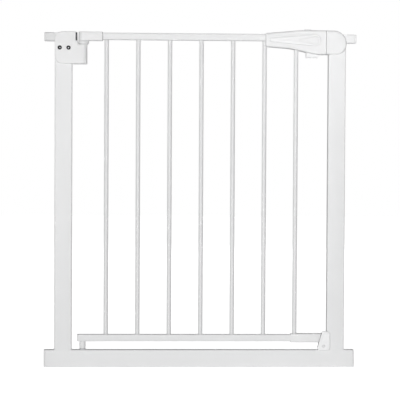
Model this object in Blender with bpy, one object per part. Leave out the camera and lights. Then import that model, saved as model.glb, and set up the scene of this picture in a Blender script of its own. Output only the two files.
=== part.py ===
"""Pressure-fit safety gate: a welded U-frame of rectangular tube, a barred door that lifts and swings on
two hinge pins, a two-shell latch handle and a turning door stop. Metres, +Z up, the front faces -Y.
The origin is the middle of the base rail's underside."""

import math

import bmesh
import bpy
from mathutils import Matrix, Vector

# --- driving dimensions: frame -------------------------------------------------------------------
FRAME_WIDTH = 0.716          # over the end plugs
FRAME_HEIGHT = 0.7672        # floor to the top of the uprights
STUB_REACH = 0.024           # upright's outer face to the end plug's outer face
UPRIGHT_WIDTH = 0.040
BASE_HEIGHT = 0.040
TUBE_DEPTH = 0.020           # front to back, the same for base rail, uprights and stubs
STUB_HEIGHT = 0.020
TUBE_WALL = 0.0012
TUBE_CORNER = 0.0022

# --- driving dimensions: door --------------------------------------------------------------------
BAR_COUNT = 7
BAR_RADIUS = 0.005
BAR_WALL = 0.001
EDGE_BAR_OFFSET = 0.0762     # upright's inner face to the centre of the outermost bar, on average
BAR_SHIFT = 0.002            # the bars stand this far from the frame's middle, towards the latch
RAIL_SIZE = 0.016            # square tube of the door's top and bottom rails
RAIL_WALL = 0.0012
RAIL_CORNER = 0.0018
RAIL_DROP = 0.008            # top of the uprights to the middle of the top rail
FLOOR_GAP = 0.0192           # base rail's top to the bottom rail's underside

# --- driving dimensions: hinge -------------------------------------------------------------------
HINGE_OFFSET = 0.0250        # left upright's inner face to the hinge axis
HINGE_HALF_DEPTH = 0.014
HINGE_COLUMN_REACH = 0.009   # hinge axis to the housing's right side
HINGE_HEIGHT = 0.0738
HINGE_CORNER = 0.018         # radius of the housing's two outer corners
HINGE_WALL = 0.0012          # plastic between the upright and a screw's seat
FRONT_SLIT = 0.0063          # cap to the front block, and how wide the slit between them is
REAR_SLIT = 0.0025
HOUSING_CAP = 0.002          # plastic above the top of the upright
COLUMN_DROP = 0.028          # top of the upright to the shoulder the collar stands on
COLLAR_RADIUS = 0.013
COLLAR_HEIGHT = 0.0091
PIN_RADIUS = 0.004           # upper hinge pin
LOWER_PIN_RADIUS = 0.0052
SPRING_CAVITY = 0.0072
DOOR_END = 0.0128            # hinge axis to the bottom rail's left end
LIFT_TRAVEL = 0.010          # how far the door lifts on its pins
CAP_SIDE_WALL = 0.0029
CAP_TOP_WALL = 0.0017
CAP_LENGTH = 0.0435          # hinge axis to the cap's right end
CAP_SCREW_OFFSET = 0.031     # hinge axis to the cap's screw
BUSH_WALL = 0.0018           # bush in the base rail
BUSH_FLANGE = 0.0008
PIVOT_BOSS_WALL = 0.0012     # bush in the bottom rail

# --- driving dimensions: screws and spindle sockets ----------------------------------------------
HINGE_SCREW_DROP = 0.0350    # top of the upright to the hinge housing's screws
HINGE_SCREW_SHIFT = 0.0012   # the pair stands this far from the upright's middle, towards the door
LATCH_SCREW_DROP = 0.033
SCREW_SPACING = 0.020
CLAMP_SHANK = 0.0024
CLAMP_HEAD = (0.0052, 0.0024)
CLAMP_NUT = 0.0044
SPINDLE_HOLE = 0.0053
SPINDLE_BORE = 0.0047        # in the four square nuts, for a 10 mm spindle
NUT_HEIGHT = 0.008
PLUG_FLANGE = 0.0035
PLUG_BOSS = 0.010

# --- driving dimensions: handle and latch --------------------------------------------------------
LATCH_OVERLAP = 0.0057       # latch housing's reach past the upright's inner face
SPLIT_GAP = 0.0008           # handle to latch housing
HANDLE_LENGTH = 0.1395
HANDLE_HALF_DEPTH = 0.016
HANDLE_TAPER = 0.84          # depth of the handle's left end, as a share of its right end
HANDLE_WAIST = 0.0572        # handle's left end to the bend in its underside
HANDLE_BELLY = 0.1158        # handle's left end to where the underside is lowest
HANDLE_CREST = 0.0879        # handle's left end to the bend in its upper side
HANDLE_ROOM = 0.0092         # top of the top rail to the top of the handle's wall
HANDLE_FALL = 0.0387         # middle of the top rail to the handle's lowest line
RIM = 0.0042                 # rounding of the handle's and latch housing's front and rear edges
PANEL_DEPTH = 0.0013
SHELL_WALL = 0.0025
BOLT_HEIGHT = 0.009
BOLT_DEPTH = 0.010
BOLT_TRAVEL = 0.0055         # equal to the trigger's travel, because the cam faces stand at 45 degrees
THUMB_TRAVEL = 0.006
THUMB_OFFSET = 0.041         # handle's right end to the thumb slide
TRIGGER_OFFSET = 0.0306      # handle's right end to the middle of the trigger
TRIGGER_HALF = 0.0145
TRIGGER_DEPTH = 0.006
LATCH_BULGE = 0.001          # how far the latch housing stands past the upright's outer face
LATCH_WALL = 0.0028          # plastic between the upright and a rear screw's seat

# --- driving dimensions: bottom sleeve and door stop ---------------------------------------------
SLEEVE_WALL = 0.0019
SLEEVE_REACH = 0.0088        # last bar's centre to the sleeve's left end
SLEEVE_SHORT = 0.006         # sleeve's right end to the right upright
STOP_OFFSET = 0.0072         # right upright's inner face to the stop's screw
STOP_THICKNESS = 0.005
STOP_HEIGHT = 0.0352         # screw to the top of the plate
STOP_FOOT = 0.0098           # screw to the bottom of the plate
STOP_BLOCK_HEIGHT = 0.0160
STOP_SCREW_HEIGHT = 0.0090   # base rail's top to the stop's screw
STOP_SHANK = 0.0018
STOP_HEAD = (0.003, 0.0018)

# --- clearances and facets -----------------------------------------------------------------------
GAP = 0.0003                 # between pieces that touch
RUN = 0.0004                 # between pieces that turn or slide in each other
ROUND = 24                   # sides of a large round piece
SMALL_ROUND = 16             # sides of a bar, a screw or a small hole

# --- places worked out from the sizes above ------------------------------------------------------
END = FRAME_WIDTH / 2
OUTER = END - STUB_REACH                        # uprights' outer faces, at plus and minus this
INNER = OUTER - UPRIGHT_WIDTH                   # uprights' inner faces
UPRIGHT_X = (OUTER + INNER) / 2
HALF_TUBE = TUBE_DEPTH / 2
STUB_Z = FRAME_HEIGHT - STUB_HEIGHT / 2
HINGE_X = -INNER + HINGE_OFFSET
TOP_RAIL_Z = FRAME_HEIGHT - RAIL_DROP
BOTTOM_RAIL_Z = BASE_HEIGHT + FLOOR_GAP + RAIL_SIZE / 2
HALF_RAIL = RAIL_SIZE / 2
HANDLE_RISE = HALF_RAIL + HANDLE_ROOM           # middle of the top rail to the top of the handle's wall
BAR_PITCH = 2 * (INNER - EDGE_BAR_OFFSET) / (BAR_COUNT - 1)
BAR_X = [BAR_SHIFT + (i - (BAR_COUNT - 1) / 2) * BAR_PITCH for i in range(BAR_COUNT)]
LATCH_LEFT = INNER - LATCH_OVERLAP
HANDLE_RIGHT = LATCH_LEFT - SPLIT_GAP
HANDLE_LEFT = HANDLE_RIGHT - HANDLE_LENGTH
SHOULDER_Z = FRAME_HEIGHT - COLUMN_DROP
HINGE_SCREW_Z = FRAME_HEIGHT - HINGE_SCREW_DROP
HINGE_SCREW_X = -UPRIGHT_X + HINGE_SCREW_SHIFT
LATCH_SCREW_Z = FRAME_HEIGHT - LATCH_SCREW_DROP
LATCH_SEAT = HALF_TUBE + LATCH_WALL
HINGE_SEAT = HALF_TUBE + GAP + HINGE_WALL
CAP_HALF_DEPTH = HALF_RAIL + GAP + CAP_SIDE_WALL
CAP_BOTTOM = SHOULDER_Z + GAP + COLLAR_HEIGHT + GAP
SLEEVE_HALF = HALF_RAIL + GAP + SLEEVE_WALL
RAIL_END = BAR_X[-1] + BAR_RADIUS + 0.0052      # the top rail ends just past the last bar
BOLT_Z = TOP_RAIL_Z - 0.014                     # underside of the latch bolt's bar
STOP_BACK = -(max(HALF_TUBE, SLEEVE_HALF) + RUN)
STOP_X = INNER - STOP_OFFSET
STOP_Z = BASE_HEIGHT + STOP_SCREW_HEIGHT
BUSH_TOP = BASE_HEIGHT + GAP + 0.0014
CAP_SCREW_X = HINGE_X + CAP_SCREW_OFFSET
SLEEVE_LEFT = BAR_X[-1] - SLEEVE_REACH
SLEEVE_RIGHT = INNER - SLEEVE_SHORT
DOOR_LEFT = HINGE_X - DOOR_END
PIVOT_BOSS = LOWER_PIN_RADIUS + PIVOT_BOSS_WALL
SPRING_SEAT = RAIL_END + 0.0035
HANDLE_SCREWS = [(HANDLE_LEFT + 0.030, TOP_RAIL_Z - 0.0146), (HANDLE_RIGHT - 0.0082, TOP_RAIL_Z - 0.0285),
                 (HANDLE_RIGHT - 0.0082, TOP_RAIL_Z + 0.0105)]
TRIGGER_X = HANDLE_RIGHT - TRIGGER_OFFSET
THUMB_X = HANDLE_RIGHT - THUMB_OFFSET
THUMB_RIB = THUMB_X - 0.0145                    # right side of the rib behind the thumb spring
HANDLE_TOP = TOP_RAIL_Z + HANDLE_RISE
HANDLE_FLOOR = TOP_RAIL_Z - HANDLE_FALL

WHITE_PAINT = ("white_paint", (0.86, 0.86, 0.86), 0.35, 0.0)
WHITE_PLASTIC = ("white_plastic", (0.88, 0.88, 0.88), 0.45, 0.0)
GREY_PLASTIC = ("grey_plastic", (0.74, 0.75, 0.76), 0.5, 0.0)
BLACK_STEEL = ("black_steel", (0.03, 0.03, 0.03), 0.4, 0.6)
ZINC = ("zinc_steel", (0.62, 0.63, 0.65), 0.3, 1.0)


# --- helpers -------------------------------------------------------------------------------------
def clear_scene():
    for obj in list(bpy.data.objects):
        bpy.data.objects.remove(obj)


def material(spec):
    name, colour, roughness, metallic = spec
    made = bpy.data.materials.get(name)
    if made is None:
        made = bpy.data.materials.new(name)
        made.use_nodes = True
        shader = made.node_tree.nodes["Principled BSDF"]
        shader.inputs["Base Color"].default_value = (*colour, 1.0)
        shader.inputs["Roughness"].default_value = roughness
        shader.inputs["Metallic"].default_value = metallic
    return made


def new_object(name, bm, spec=None, origin=(0, 0, 0)):
    """Object of a bmesh given in the gate's frame, with its origin at the given point."""
    bmesh.ops.translate(bm, verts=bm.verts, vec=-Vector(origin))
    mesh = bpy.data.meshes.new(name)
    bm.to_mesh(mesh)
    bm.free()
    mesh.shade_smooth()
    mesh.set_sharp_from_angle(angle=math.radians(32))
    obj = bpy.data.objects.new(name, mesh)
    obj.location = origin
    bpy.context.scene.collection.objects.link(obj)
    if spec:
        mesh.materials.append(material(spec))
    return obj


def combine(obj, bm, operation):
    """Cuts a bmesh from an object, joins it on or keeps only what they share."""
    tool = new_object(f"{obj.name}_{operation.lower()}", bm)
    tool.hide_render = True
    tool.display_type = "WIRE"
    modifier = obj.modifiers.new(operation.title(), "BOOLEAN")
    modifier.operation = operation
    modifier.solver = "EXACT"
    modifier.object = tool
    return obj


def cut(obj, *tools):
    for bm in tools:
        combine(obj, bm, "DIFFERENCE")
    return obj


def join(obj, *tools):
    for bm in tools:
        combine(obj, bm, "UNION")
    return obj


def place(axis, u, v, w):
    """Point with w along the axis and u, v across it, in X, Y, Z order."""
    return {"X": (w, u, v), "Y": (u, w, v), "Z": (u, v, w)}[axis]


def prism(axis, outline, start, end, hole=None):
    """A flat outline pushed along an axis; with a hole it is a tube."""
    bm = bmesh.new()
    edges = []
    for points in (outline, hole) if hole else (outline,):
        verts = [bm.verts.new(place(axis, u, v, start)) for u, v in points]
        edges += [bm.edges.new(pair) for pair in zip(verts, verts[1:] + verts[:1])]
    if hole:
        bmesh.ops.bridge_loops(bm, edges=edges)
    else:
        bm.faces.new(verts)
    made = bmesh.ops.extrude_face_region(bm, geom=bm.faces[:])
    moved = [v for v in made["geom"] if isinstance(v, bmesh.types.BMVert)]
    bmesh.ops.translate(bm, verts=moved, vec=place(axis, 0, 0, end - start))
    bmesh.ops.recalc_face_normals(bm, faces=bm.faces)
    return bm


def box(low, high):
    plan = [(low[0], low[1]), (high[0], low[1]), (high[0], high[1]), (low[0], high[1])]
    return prism("Z", plan, low[2], high[2])


def rounded(corners, sides_per_turn=ROUND):
    """Outline of (u, v, radius) corners, each with its arc."""
    points = []
    count = len(corners)
    for i, (u, v, radius) in enumerate(corners):
        here = Vector((u, v))
        back = (Vector(corners[i - 1][:2]) - here).normalized()
        ahead = (Vector(corners[(i + 1) % count][:2]) - here).normalized()
        if radius == 0:
            points.append(tuple(here))
            continue
        half = back.angle(ahead) / 2
        centre = here + (back + ahead).normalized() * radius / math.sin(half)
        start = here + back * radius / math.tan(half) - centre
        turn = math.pi - 2 * half
        if back.cross(ahead) > 0:
            turn = -turn
        steps = max(1, round(abs(turn) / math.tau * sides_per_turn))
        for step in range(steps + 1):
            points.append(tuple(centre + Matrix.Rotation(turn * step / steps, 2) @ start))
    return points


def rectangle(u, v, width, height, radius, sides_per_turn=12):
    """Rounded rectangle centred on u, v."""
    corners = [(-1, -1), (1, -1), (1, 1), (-1, 1)]
    return rounded([(u + a * width / 2, v + b * height / 2, radius) for a, b in corners], sides_per_turn)


def shrunk(points, distance):
    """A closed outline moved inwards by a distance."""
    if not distance:
        return points
    count = len(points)
    area = sum(points[i - 1][0] * points[i][1] - points[i][0] * points[i - 1][1] for i in range(count))
    result = []
    for i, point in enumerate(points):
        here = Vector(point)
        back = (here - Vector(points[i - 1])).normalized()
        ahead = (Vector(points[(i + 1) % count]) - here).normalized()
        inward = (back + ahead).orthogonal().normalized() * math.copysign(1, area)
        side = back.orthogonal() * math.copysign(1, area)
        result.append(tuple(here + inward * distance / inward.dot(side)))
    return result


def circle(u, v, radius, sides=ROUND, turned=0.5):
    steps = [(i + turned) * math.tau / sides for i in range(sides)]
    return [(u + radius * math.cos(a), v + radius * math.sin(a)) for a in steps]


def turned(axis, centre, profile, sides=ROUND):
    """Solid of revolution about an axis through centre. The profile's (radius, height) points
    close on themselves, or on the axis where they start and end at radius 0."""
    bm = bmesh.new()
    verts = [bm.verts.new((radius, 0, height)) for radius, height in profile]
    for pair in zip(verts, verts[1:]):
        bm.edges.new(pair)
    if profile[0][0] or profile[-1][0]:
        bm.edges.new((verts[-1], verts[0]))
    bmesh.ops.spin(bm, geom=bm.verts[:] + bm.edges[:], cent=(0, 0, 0), axis=(0, 0, 1), dvec=(0, 0, 0),
                   angle=math.tau, steps=sides, use_merge=True, use_duplicate=False)
    bmesh.ops.remove_doubles(bm, verts=bm.verts, dist=1e-6)
    bmesh.ops.recalc_face_normals(bm, faces=bm.faces)
    turn = {"X": Matrix.Rotation(math.pi / 2, 4, "Y"), "Y": Matrix.Rotation(-math.pi / 2, 4, "X"),
            "Z": Matrix.Identity(4)}[axis]
    bmesh.ops.transform(bm, matrix=Matrix.Translation(centre) @ turn, verts=bm.verts)
    return bm


def rod(axis, u, v, radius, start, end, sides=ROUND):
    return prism(axis, circle(u, v, radius, sides), start, end)


def bevel_face(bm, axis_index, level, width, segments):
    """Rounds the rim of the flat face that lies at a level along one axis."""
    rim = [e for e in bm.edges if all(abs(v.co[axis_index] - level) < 1e-7 for v in e.verts)]
    bmesh.ops.bevel(bm, geom=rim, offset=width, segments=segments, affect="EDGES", profile=0.5, material=-1)


def coil(name, centre, direction, radius, wire, length, turns, spec, steps_per_turn=14):
    """Helical spring as a bevelled curve with filled caps."""
    aim = Vector((0, 0, 1)).rotation_difference(Vector(direction)).to_matrix()
    curve = bpy.data.curves.new(name, "CURVE")
    curve.dimensions = "3D"
    curve.bevel_depth = wire
    curve.bevel_resolution = 1
    curve.use_fill_caps = True
    spline = curve.splines.new("POLY")
    count = turns * steps_per_turn + 1
    spline.points.add(count - 1)
    for i, point in enumerate(spline.points):
        angle = math.tau * i / steps_per_turn
        height = wire + (length - 2 * wire) * i / (count - 1)
        point.co = (*(aim @ Vector((radius * math.cos(angle), radius * math.sin(angle), height))), 1.0)
    obj = bpy.data.objects.new(name, curve)
    obj.location = centre
    bpy.context.scene.collection.objects.link(obj)
    curve.materials.append(material(spec))
    return obj


def tube(name, axis, middle, size, start, end, wall=TUBE_WALL, corner=TUBE_CORNER, spec=WHITE_PAINT):
    """Rectangular tube with rounded corners, open at both ends."""
    outer = rectangle(*middle, *size, corner)
    inner = rectangle(*middle, size[0] - 2 * wall, size[1] - 2 * wall, corner - wall)
    return new_object(name, prism(axis, outer, start, end, inner), spec)


def screw(name, axis, centre, toward, head, shank, spec, socket=0.4, origin=None):
    """Domed screw. centre is under the head, toward is +1 or -1 along the axis for the way its head
    faces, head is (radius, height) and shank is (radius, length)."""
    radius, height = head
    dome = [(radius, 0), (radius, height * 0.45), (radius * 0.8, height * 0.82), (radius * 0.42, height),
            (0, height)]
    body, length = shank
    profile = [(0, -length), (body * 0.7, -length), (body, -length + body * 0.5), (body, 0), *dome]
    bm = turned(axis, centre, [(r, h * toward) for r, h in profile], SMALL_ROUND)
    made = new_object(name, bm, spec, origin or centre)
    across = [c for c, letter in zip(centre, "XYZ") if letter != axis]
    along = centre["XYZ".index(axis)]
    recess = circle(*across, head[0] * socket, 6, 0)
    return cut(made, prism(axis, recess, along + toward * head[1] * 0.35, along + toward * head[1] * 1.6))


# --- frame ---------------------------------------------------------------------------------------
def build_frame_tubes():
    """Base rail, two uprights and the two stubs at the top, which are welded together."""
    tube_end = END - PLUG_FLANGE - GAP
    base = tube("base_rail", "X", (0, BASE_HEIGHT / 2), (TUBE_DEPTH, BASE_HEIGHT), -tube_end, tube_end)
    cut(base, rod("Z", HINGE_X, 0, LOWER_PIN_RADIUS + BUSH_WALL + GAP, BASE_HEIGHT / 2, BASE_HEIGHT + 0.01))
    for side, name in ((-1, "left"), (1, "right")):
        upright = tube(f"{name}_upright", "Z", (side * UPRIGHT_X, 0), (UPRIGHT_WIDTH, TUBE_DEPTH),
                       BASE_HEIGHT + GAP, FRAME_HEIGHT)
        outer_wall = side * (OUTER - UPRIGHT_WIDTH / 2)
        cut(upright, rod("X", 0, STUB_Z, SPINDLE_HOLE, *sorted((outer_wall, side * (OUTER + 0.005)))))
        middle, z = (HINGE_SCREW_X, HINGE_SCREW_Z) if side < 0 else (UPRIGHT_X, LATCH_SCREW_Z)
        for offset in (-1, 1):
            x = middle + offset * SCREW_SPACING / 2
            cut(upright, rod("Y", x, z, CLAMP_SHANK + RUN, -TUBE_DEPTH, TUBE_DEPTH, SMALL_ROUND))
        tube(f"{name}_stub", "X", (0, STUB_Z), (TUBE_DEPTH, STUB_HEIGHT),
             *sorted((side * (OUTER + GAP), side * tube_end)))


def build_end_plugs():
    """Plastic plugs in the four wall ends, each with a captive nut for its pressure spindle."""
    flange, boss = PLUG_FLANGE, PLUG_BOSS
    for level, z, height in (("top", STUB_Z, STUB_HEIGHT), ("bottom", BASE_HEIGHT / 2, BASE_HEIGHT)):
        for side, name in ((-1, "left"), (1, "right")):
            outer = rectangle(0, z, TUBE_DEPTH, height, TUBE_CORNER)
            bm = prism("X", outer, side * (END - flange), side * END)
            bevel_face(bm, 0, side * END, 0.0008, 2)
            plug = new_object(f"{level}_{name}_plug", bm, WHITE_PLASTIC)
            inside = [size - 2 * (TUBE_WALL + GAP) for size in (TUBE_DEPTH, height)]
            corner = TUBE_CORNER - TUBE_WALL
            join(plug, prism("X", rectangle(0, z, *inside, corner), side * (END - flange - boss),
                             side * (END - flange / 2)))
            cut(plug, rod("X", 0, z, SPINDLE_HOLE, *sorted((side * (END - 0.03), side * (END + 0.01)))))
            nut_start = END - flange - boss - GAP
            across = min(inside) - 2 * GAP
            nut = rectangle(0, z, across, across, 0.0015)
            new_object(f"{level}_{name}_nut",
                       prism("X", nut, side * nut_start, side * (nut_start - NUT_HEIGHT),
                             circle(0, z, SPINDLE_BORE, SMALL_ROUND)), ZINC)


def build_base_bush():
    """Flanged plastic bush in the base rail's top wall, which the lower pin turns in."""
    bore = LOWER_PIN_RADIUS + RUN
    outer = LOWER_PIN_RADIUS + BUSH_WALL
    low, lip = BASE_HEIGHT - 0.010, BASE_HEIGHT + GAP
    flange = outer + BUSH_FLANGE
    profile = [(bore, low), (outer, low), (outer, lip), (flange, lip), (flange, BUSH_TOP - 0.0004),
               (flange - 0.0004, BUSH_TOP), (bore, BUSH_TOP)]
    new_object("base_bush", turned("Z", (HINGE_X, 0, 0), profile), GREY_PLASTIC)


# --- hinge housing -------------------------------------------------------------------------------
def hinge_outline(side):
    """Front view of the hinge housing: a block beside the cap and a column under the collar.
    The front shell has a ledge beside the collar, the rear one reaches further behind the slit."""
    top = FRAME_HEIGHT + HOUSING_CAP
    bottom = top - HINGE_HEIGHT
    right = HINGE_X + HINGE_COLUMN_REACH
    block_right = HINGE_X - CAP_HALF_DEPTH - (FRONT_SLIT if side < 0 else REAR_SLIT)
    ledge = HINGE_X - COLLAR_RADIUS - RUN
    shelf = CAP_BOTTOM - GAP
    step = [(ledge, SHOULDER_Z, 0), (ledge, shelf, 0.0015), (block_right, shelf, 0.0006)]
    return rounded([(-OUTER, bottom, HINGE_CORNER), (right, bottom, 0.0015), (right, SHOULDER_Z, 0.0015),
                    *(step if side < 0 else [(block_right, SHOULDER_Z, 0.0015)]),
                    (block_right, top, 0.0015), (-OUTER, top, HINGE_CORNER)])


def build_hinge_housing():
    """Two clamshells round the left upright, held by two screws that pass through it."""
    right = HINGE_X + HINGE_COLUMN_REACH
    plan = rounded([(-OUTER - 0.01, -HINGE_HALF_DEPTH, 0), (right, -HINGE_HALF_DEPTH, 0.010),
                    (right, HINGE_HALF_DEPTH, 0.010), (-OUTER - 0.01, HINGE_HALF_DEPTH, 0)])
    for side, name in ((-1, "front"), (1, "rear")):
        bm = prism("Y", hinge_outline(side), side * GAP / 2, side * HINGE_HALF_DEPTH)
        bevel_face(bm, 1, side * HINGE_HALF_DEPTH, 0.0012, 2)
        shell = new_object(f"hinge_housing_{name}", bm, WHITE_PLASTIC)
        combine(shell, prism("Z", plan, 0, FRAME_HEIGHT + 0.05), "INTERSECT")
        cut(shell, box((-OUTER - 0.02, -HALF_TUBE - GAP, SHOULDER_Z - 0.1),
                       (-INNER + GAP, HALF_TUBE + GAP, FRAME_HEIGHT + GAP)))
        low = FRAME_HEIGHT + HOUSING_CAP - HINGE_HEIGHT
        cavity = [(0, low + 0.0035), (SPRING_CAVITY, low + 0.0035), (SPRING_CAVITY, SHOULDER_Z - 0.006),
                  (PIN_RADIUS + RUN, SHOULDER_Z - 0.006), (PIN_RADIUS + RUN, SHOULDER_Z + 0.01),
                  (0, SHOULDER_Z + 0.01)]
        cut(shell, turned("Z", (HINGE_X, 0, 0), cavity))
        for offset in (-1, 1):
            x = HINGE_SCREW_X + offset * SCREW_SPACING / 2
            cut(shell, rod("Y", x, HINGE_SCREW_Z, CLAMP_SHANK + RUN, *sorted((0, side * 0.05)), SMALL_ROUND))
            pocket = (circle(x, HINGE_SCREW_Z, CLAMP_HEAD[0] + RUN, ROUND) if side < 0 else
                      circle(x, HINGE_SCREW_Z, CLAMP_NUT + RUN, 6))
            cut(shell, prism("Y", pocket, *sorted((side * HINGE_SEAT, side * 0.05))))


def build_hinge_screws():
    """Black screws and their nuts, through housing and upright."""
    seat = HINGE_SEAT + GAP
    for offset, name in ((-1, "outer"), (1, "inner")):
        x = HINGE_SCREW_X + offset * SCREW_SPACING / 2
        screw(f"hinge_screw_{name}", "Y", (x, -seat, HINGE_SCREW_Z), -1, CLAMP_HEAD,
              (CLAMP_SHANK, 2 * seat + 0.0015), BLACK_STEEL)
        nut = circle(x, HINGE_SCREW_Z, CLAMP_NUT, 6)
        bore = circle(x, HINGE_SCREW_Z, CLAMP_SHANK + GAP, SMALL_ROUND)
        new_object(f"hinge_nut_{name}", prism("Y", nut, seat, seat + 0.002, bore), ZINC)


def build_hinge_core():
    """Flared collar, torsion spring and the two pins."""
    low = SHOULDER_Z + GAP
    top = low + COLLAR_HEIGHT
    bore = PIN_RADIUS + RUN
    profile = [(bore, low), (HINGE_COLUMN_REACH + 0.0008, low), (COLLAR_RADIUS, low + 0.0035),
               (COLLAR_RADIUS, top - 0.0006), (COLLAR_RADIUS - 0.0006, top), (bore, top)]
    new_object("hinge_collar", turned("Z", (HINGE_X, 0, 0), profile, 32), WHITE_PLASTIC)
    bottom = FRAME_HEIGHT + HOUSING_CAP - HINGE_HEIGHT + 0.0035
    coil("closing_spring", (HINGE_X, 0, bottom + GAP), (0, 0, 1), PIN_RADIUS + 0.0018, 0.0006,
         SHOULDER_Z - 0.006 - bottom - 2 * GAP, 9, ZINC, 12)
    pin_top = TOP_RAIL_Z + HALF_RAIL - 0.002
    origin = (HINGE_X, 0, SHOULDER_Z)
    pin = [(0, bottom + 0.004), (PIN_RADIUS - 0.001, bottom + 0.004), (PIN_RADIUS, bottom + 0.005),
           (PIN_RADIUS, pin_top - 0.0008), (PIN_RADIUS - 0.0008, pin_top), (0, pin_top)]
    new_object("upper_hinge_pin", turned("Z", (HINGE_X, 0, 0), pin), ZINC, origin)
    tip = BASE_HEIGHT - LIFT_TRAVEL - 0.0035
    pin_top = BOTTOM_RAIL_Z + HALF_RAIL - RAIL_WALL - 0.001
    pin = [(0, tip), (LOWER_PIN_RADIUS - 0.0012, tip), (LOWER_PIN_RADIUS, tip + 0.0012),
           (LOWER_PIN_RADIUS, pin_top - 0.0006), (LOWER_PIN_RADIUS - 0.0006, pin_top), (0, pin_top)]
    new_object("lower_hinge_pin", turned("Z", (HINGE_X, 0, 0), pin), ZINC, (HINGE_X, 0, BASE_HEIGHT))


# --- door panel ----------------------------------------------------------------------------------
def build_door_frame():
    """Top and bottom rails, and the bars welded between them."""
    left = HINGE_X + 0.0098
    size = (RAIL_SIZE, RAIL_SIZE)
    top = tube("top_rail", "X", (0, TOP_RAIL_Z), size, left, RAIL_END, RAIL_WALL, RAIL_CORNER)
    cut(top, rod("Y", CAP_SCREW_X, TOP_RAIL_Z, 0.0018, 0, RAIL_SIZE, SMALL_ROUND))
    left = DOOR_LEFT + 0.002 + GAP
    right = SLEEVE_RIGHT - 0.004 - GAP
    bottom = tube("bottom_rail", "X", (0, BOTTOM_RAIL_Z), size, left, right, RAIL_WALL, RAIL_CORNER)
    cut(bottom, rod("Z", HINGE_X, 0, PIVOT_BOSS + GAP, BOTTOM_RAIL_Z - RAIL_SIZE, BOTTOM_RAIL_Z))
    low, high = BOTTOM_RAIL_Z + HALF_RAIL + GAP, TOP_RAIL_Z - HALF_RAIL - GAP
    for i, x in enumerate(BAR_X, 1):
        bore = circle(x, 0, BAR_RADIUS - BAR_WALL, 12)
        bar = prism("Z", circle(x, 0, BAR_RADIUS, SMALL_ROUND), low, high, bore)
        new_object(f"bar_{i}", bar, WHITE_PAINT)


def build_door_ends():
    """Plug, pivot bush and sleeve on the bottom rail, and the plug in the top rail's right end."""
    outer = rectangle(0, BOTTOM_RAIL_Z, RAIL_SIZE, RAIL_SIZE, RAIL_CORNER)
    bm = prism("X", outer, DOOR_LEFT, DOOR_LEFT + 0.002)
    bevel_face(bm, 0, DOOR_LEFT, 0.0006, 1)
    plug = new_object("bottom_rail_plug", bm, WHITE_PLASTIC)
    inside = RAIL_SIZE - 2 * (RAIL_WALL + GAP)
    join(plug, prism("X", rectangle(0, BOTTOM_RAIL_Z, inside, inside, 0.0005), DOOR_LEFT + 0.001,
                     HINGE_X - PIVOT_BOSS - GAP))
    underside = BOTTOM_RAIL_Z - HALF_RAIL
    collar = PIVOT_BOSS + 0.0006
    bore = LOWER_PIN_RADIUS + RUN
    low = BUSH_TOP + RUN
    profile = [(bore, low), (collar - 0.0005, low), (collar, low + 0.0005), (collar, underside - GAP),
               (PIVOT_BOSS, underside - GAP), (PIVOT_BOSS, underside + 0.005), (bore, underside + 0.005)]
    new_object("pivot_bush", turned("Z", (HINGE_X, 0, 0), profile), GREY_PLASTIC)

    outer = rectangle(0, BOTTOM_RAIL_Z, 2 * SLEEVE_HALF, 2 * SLEEVE_HALF, 0.0024)
    bm = prism("X", outer, SLEEVE_LEFT, SLEEVE_RIGHT)
    bevel_face(bm, 0, SLEEVE_RIGHT, 0.0012, 2)
    sleeve = new_object("bottom_sleeve", bm, WHITE_PLASTIC)
    room = RAIL_SIZE + 2 * GAP
    cut(sleeve, prism("X", rectangle(0, BOTTOM_RAIL_Z, room, room, RAIL_CORNER), SLEEVE_LEFT - 0.01,
                      SLEEVE_RIGHT - 0.004))
    slot = BAR_RADIUS + 0.0006
    cut(sleeve, box((SLEEVE_LEFT - 0.01, -slot, BOTTOM_RAIL_Z),
                    (BAR_X[-1] + slot, slot, BOTTOM_RAIL_Z + 0.05)))

    inside = RAIL_SIZE - 2 * (RAIL_WALL + GAP)
    outer = rectangle(0, TOP_RAIL_Z, RAIL_SIZE, RAIL_SIZE, RAIL_CORNER)
    plug = new_object("top_rail_plug", prism("X", outer, RAIL_END + GAP, SPRING_SEAT), GREY_PLASTIC)
    inner = rectangle(0, TOP_RAIL_Z, inside, inside, 0.0005)
    join(plug, prism("X", inner, RAIL_END - 0.006, RAIL_END + 0.001))
    seat_low = BOLT_Z - 0.001
    join(plug, box((RAIL_END + 2 * GAP, -0.0055, seat_low), (SPRING_SEAT, 0.0055, TOP_RAIL_Z)))


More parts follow.
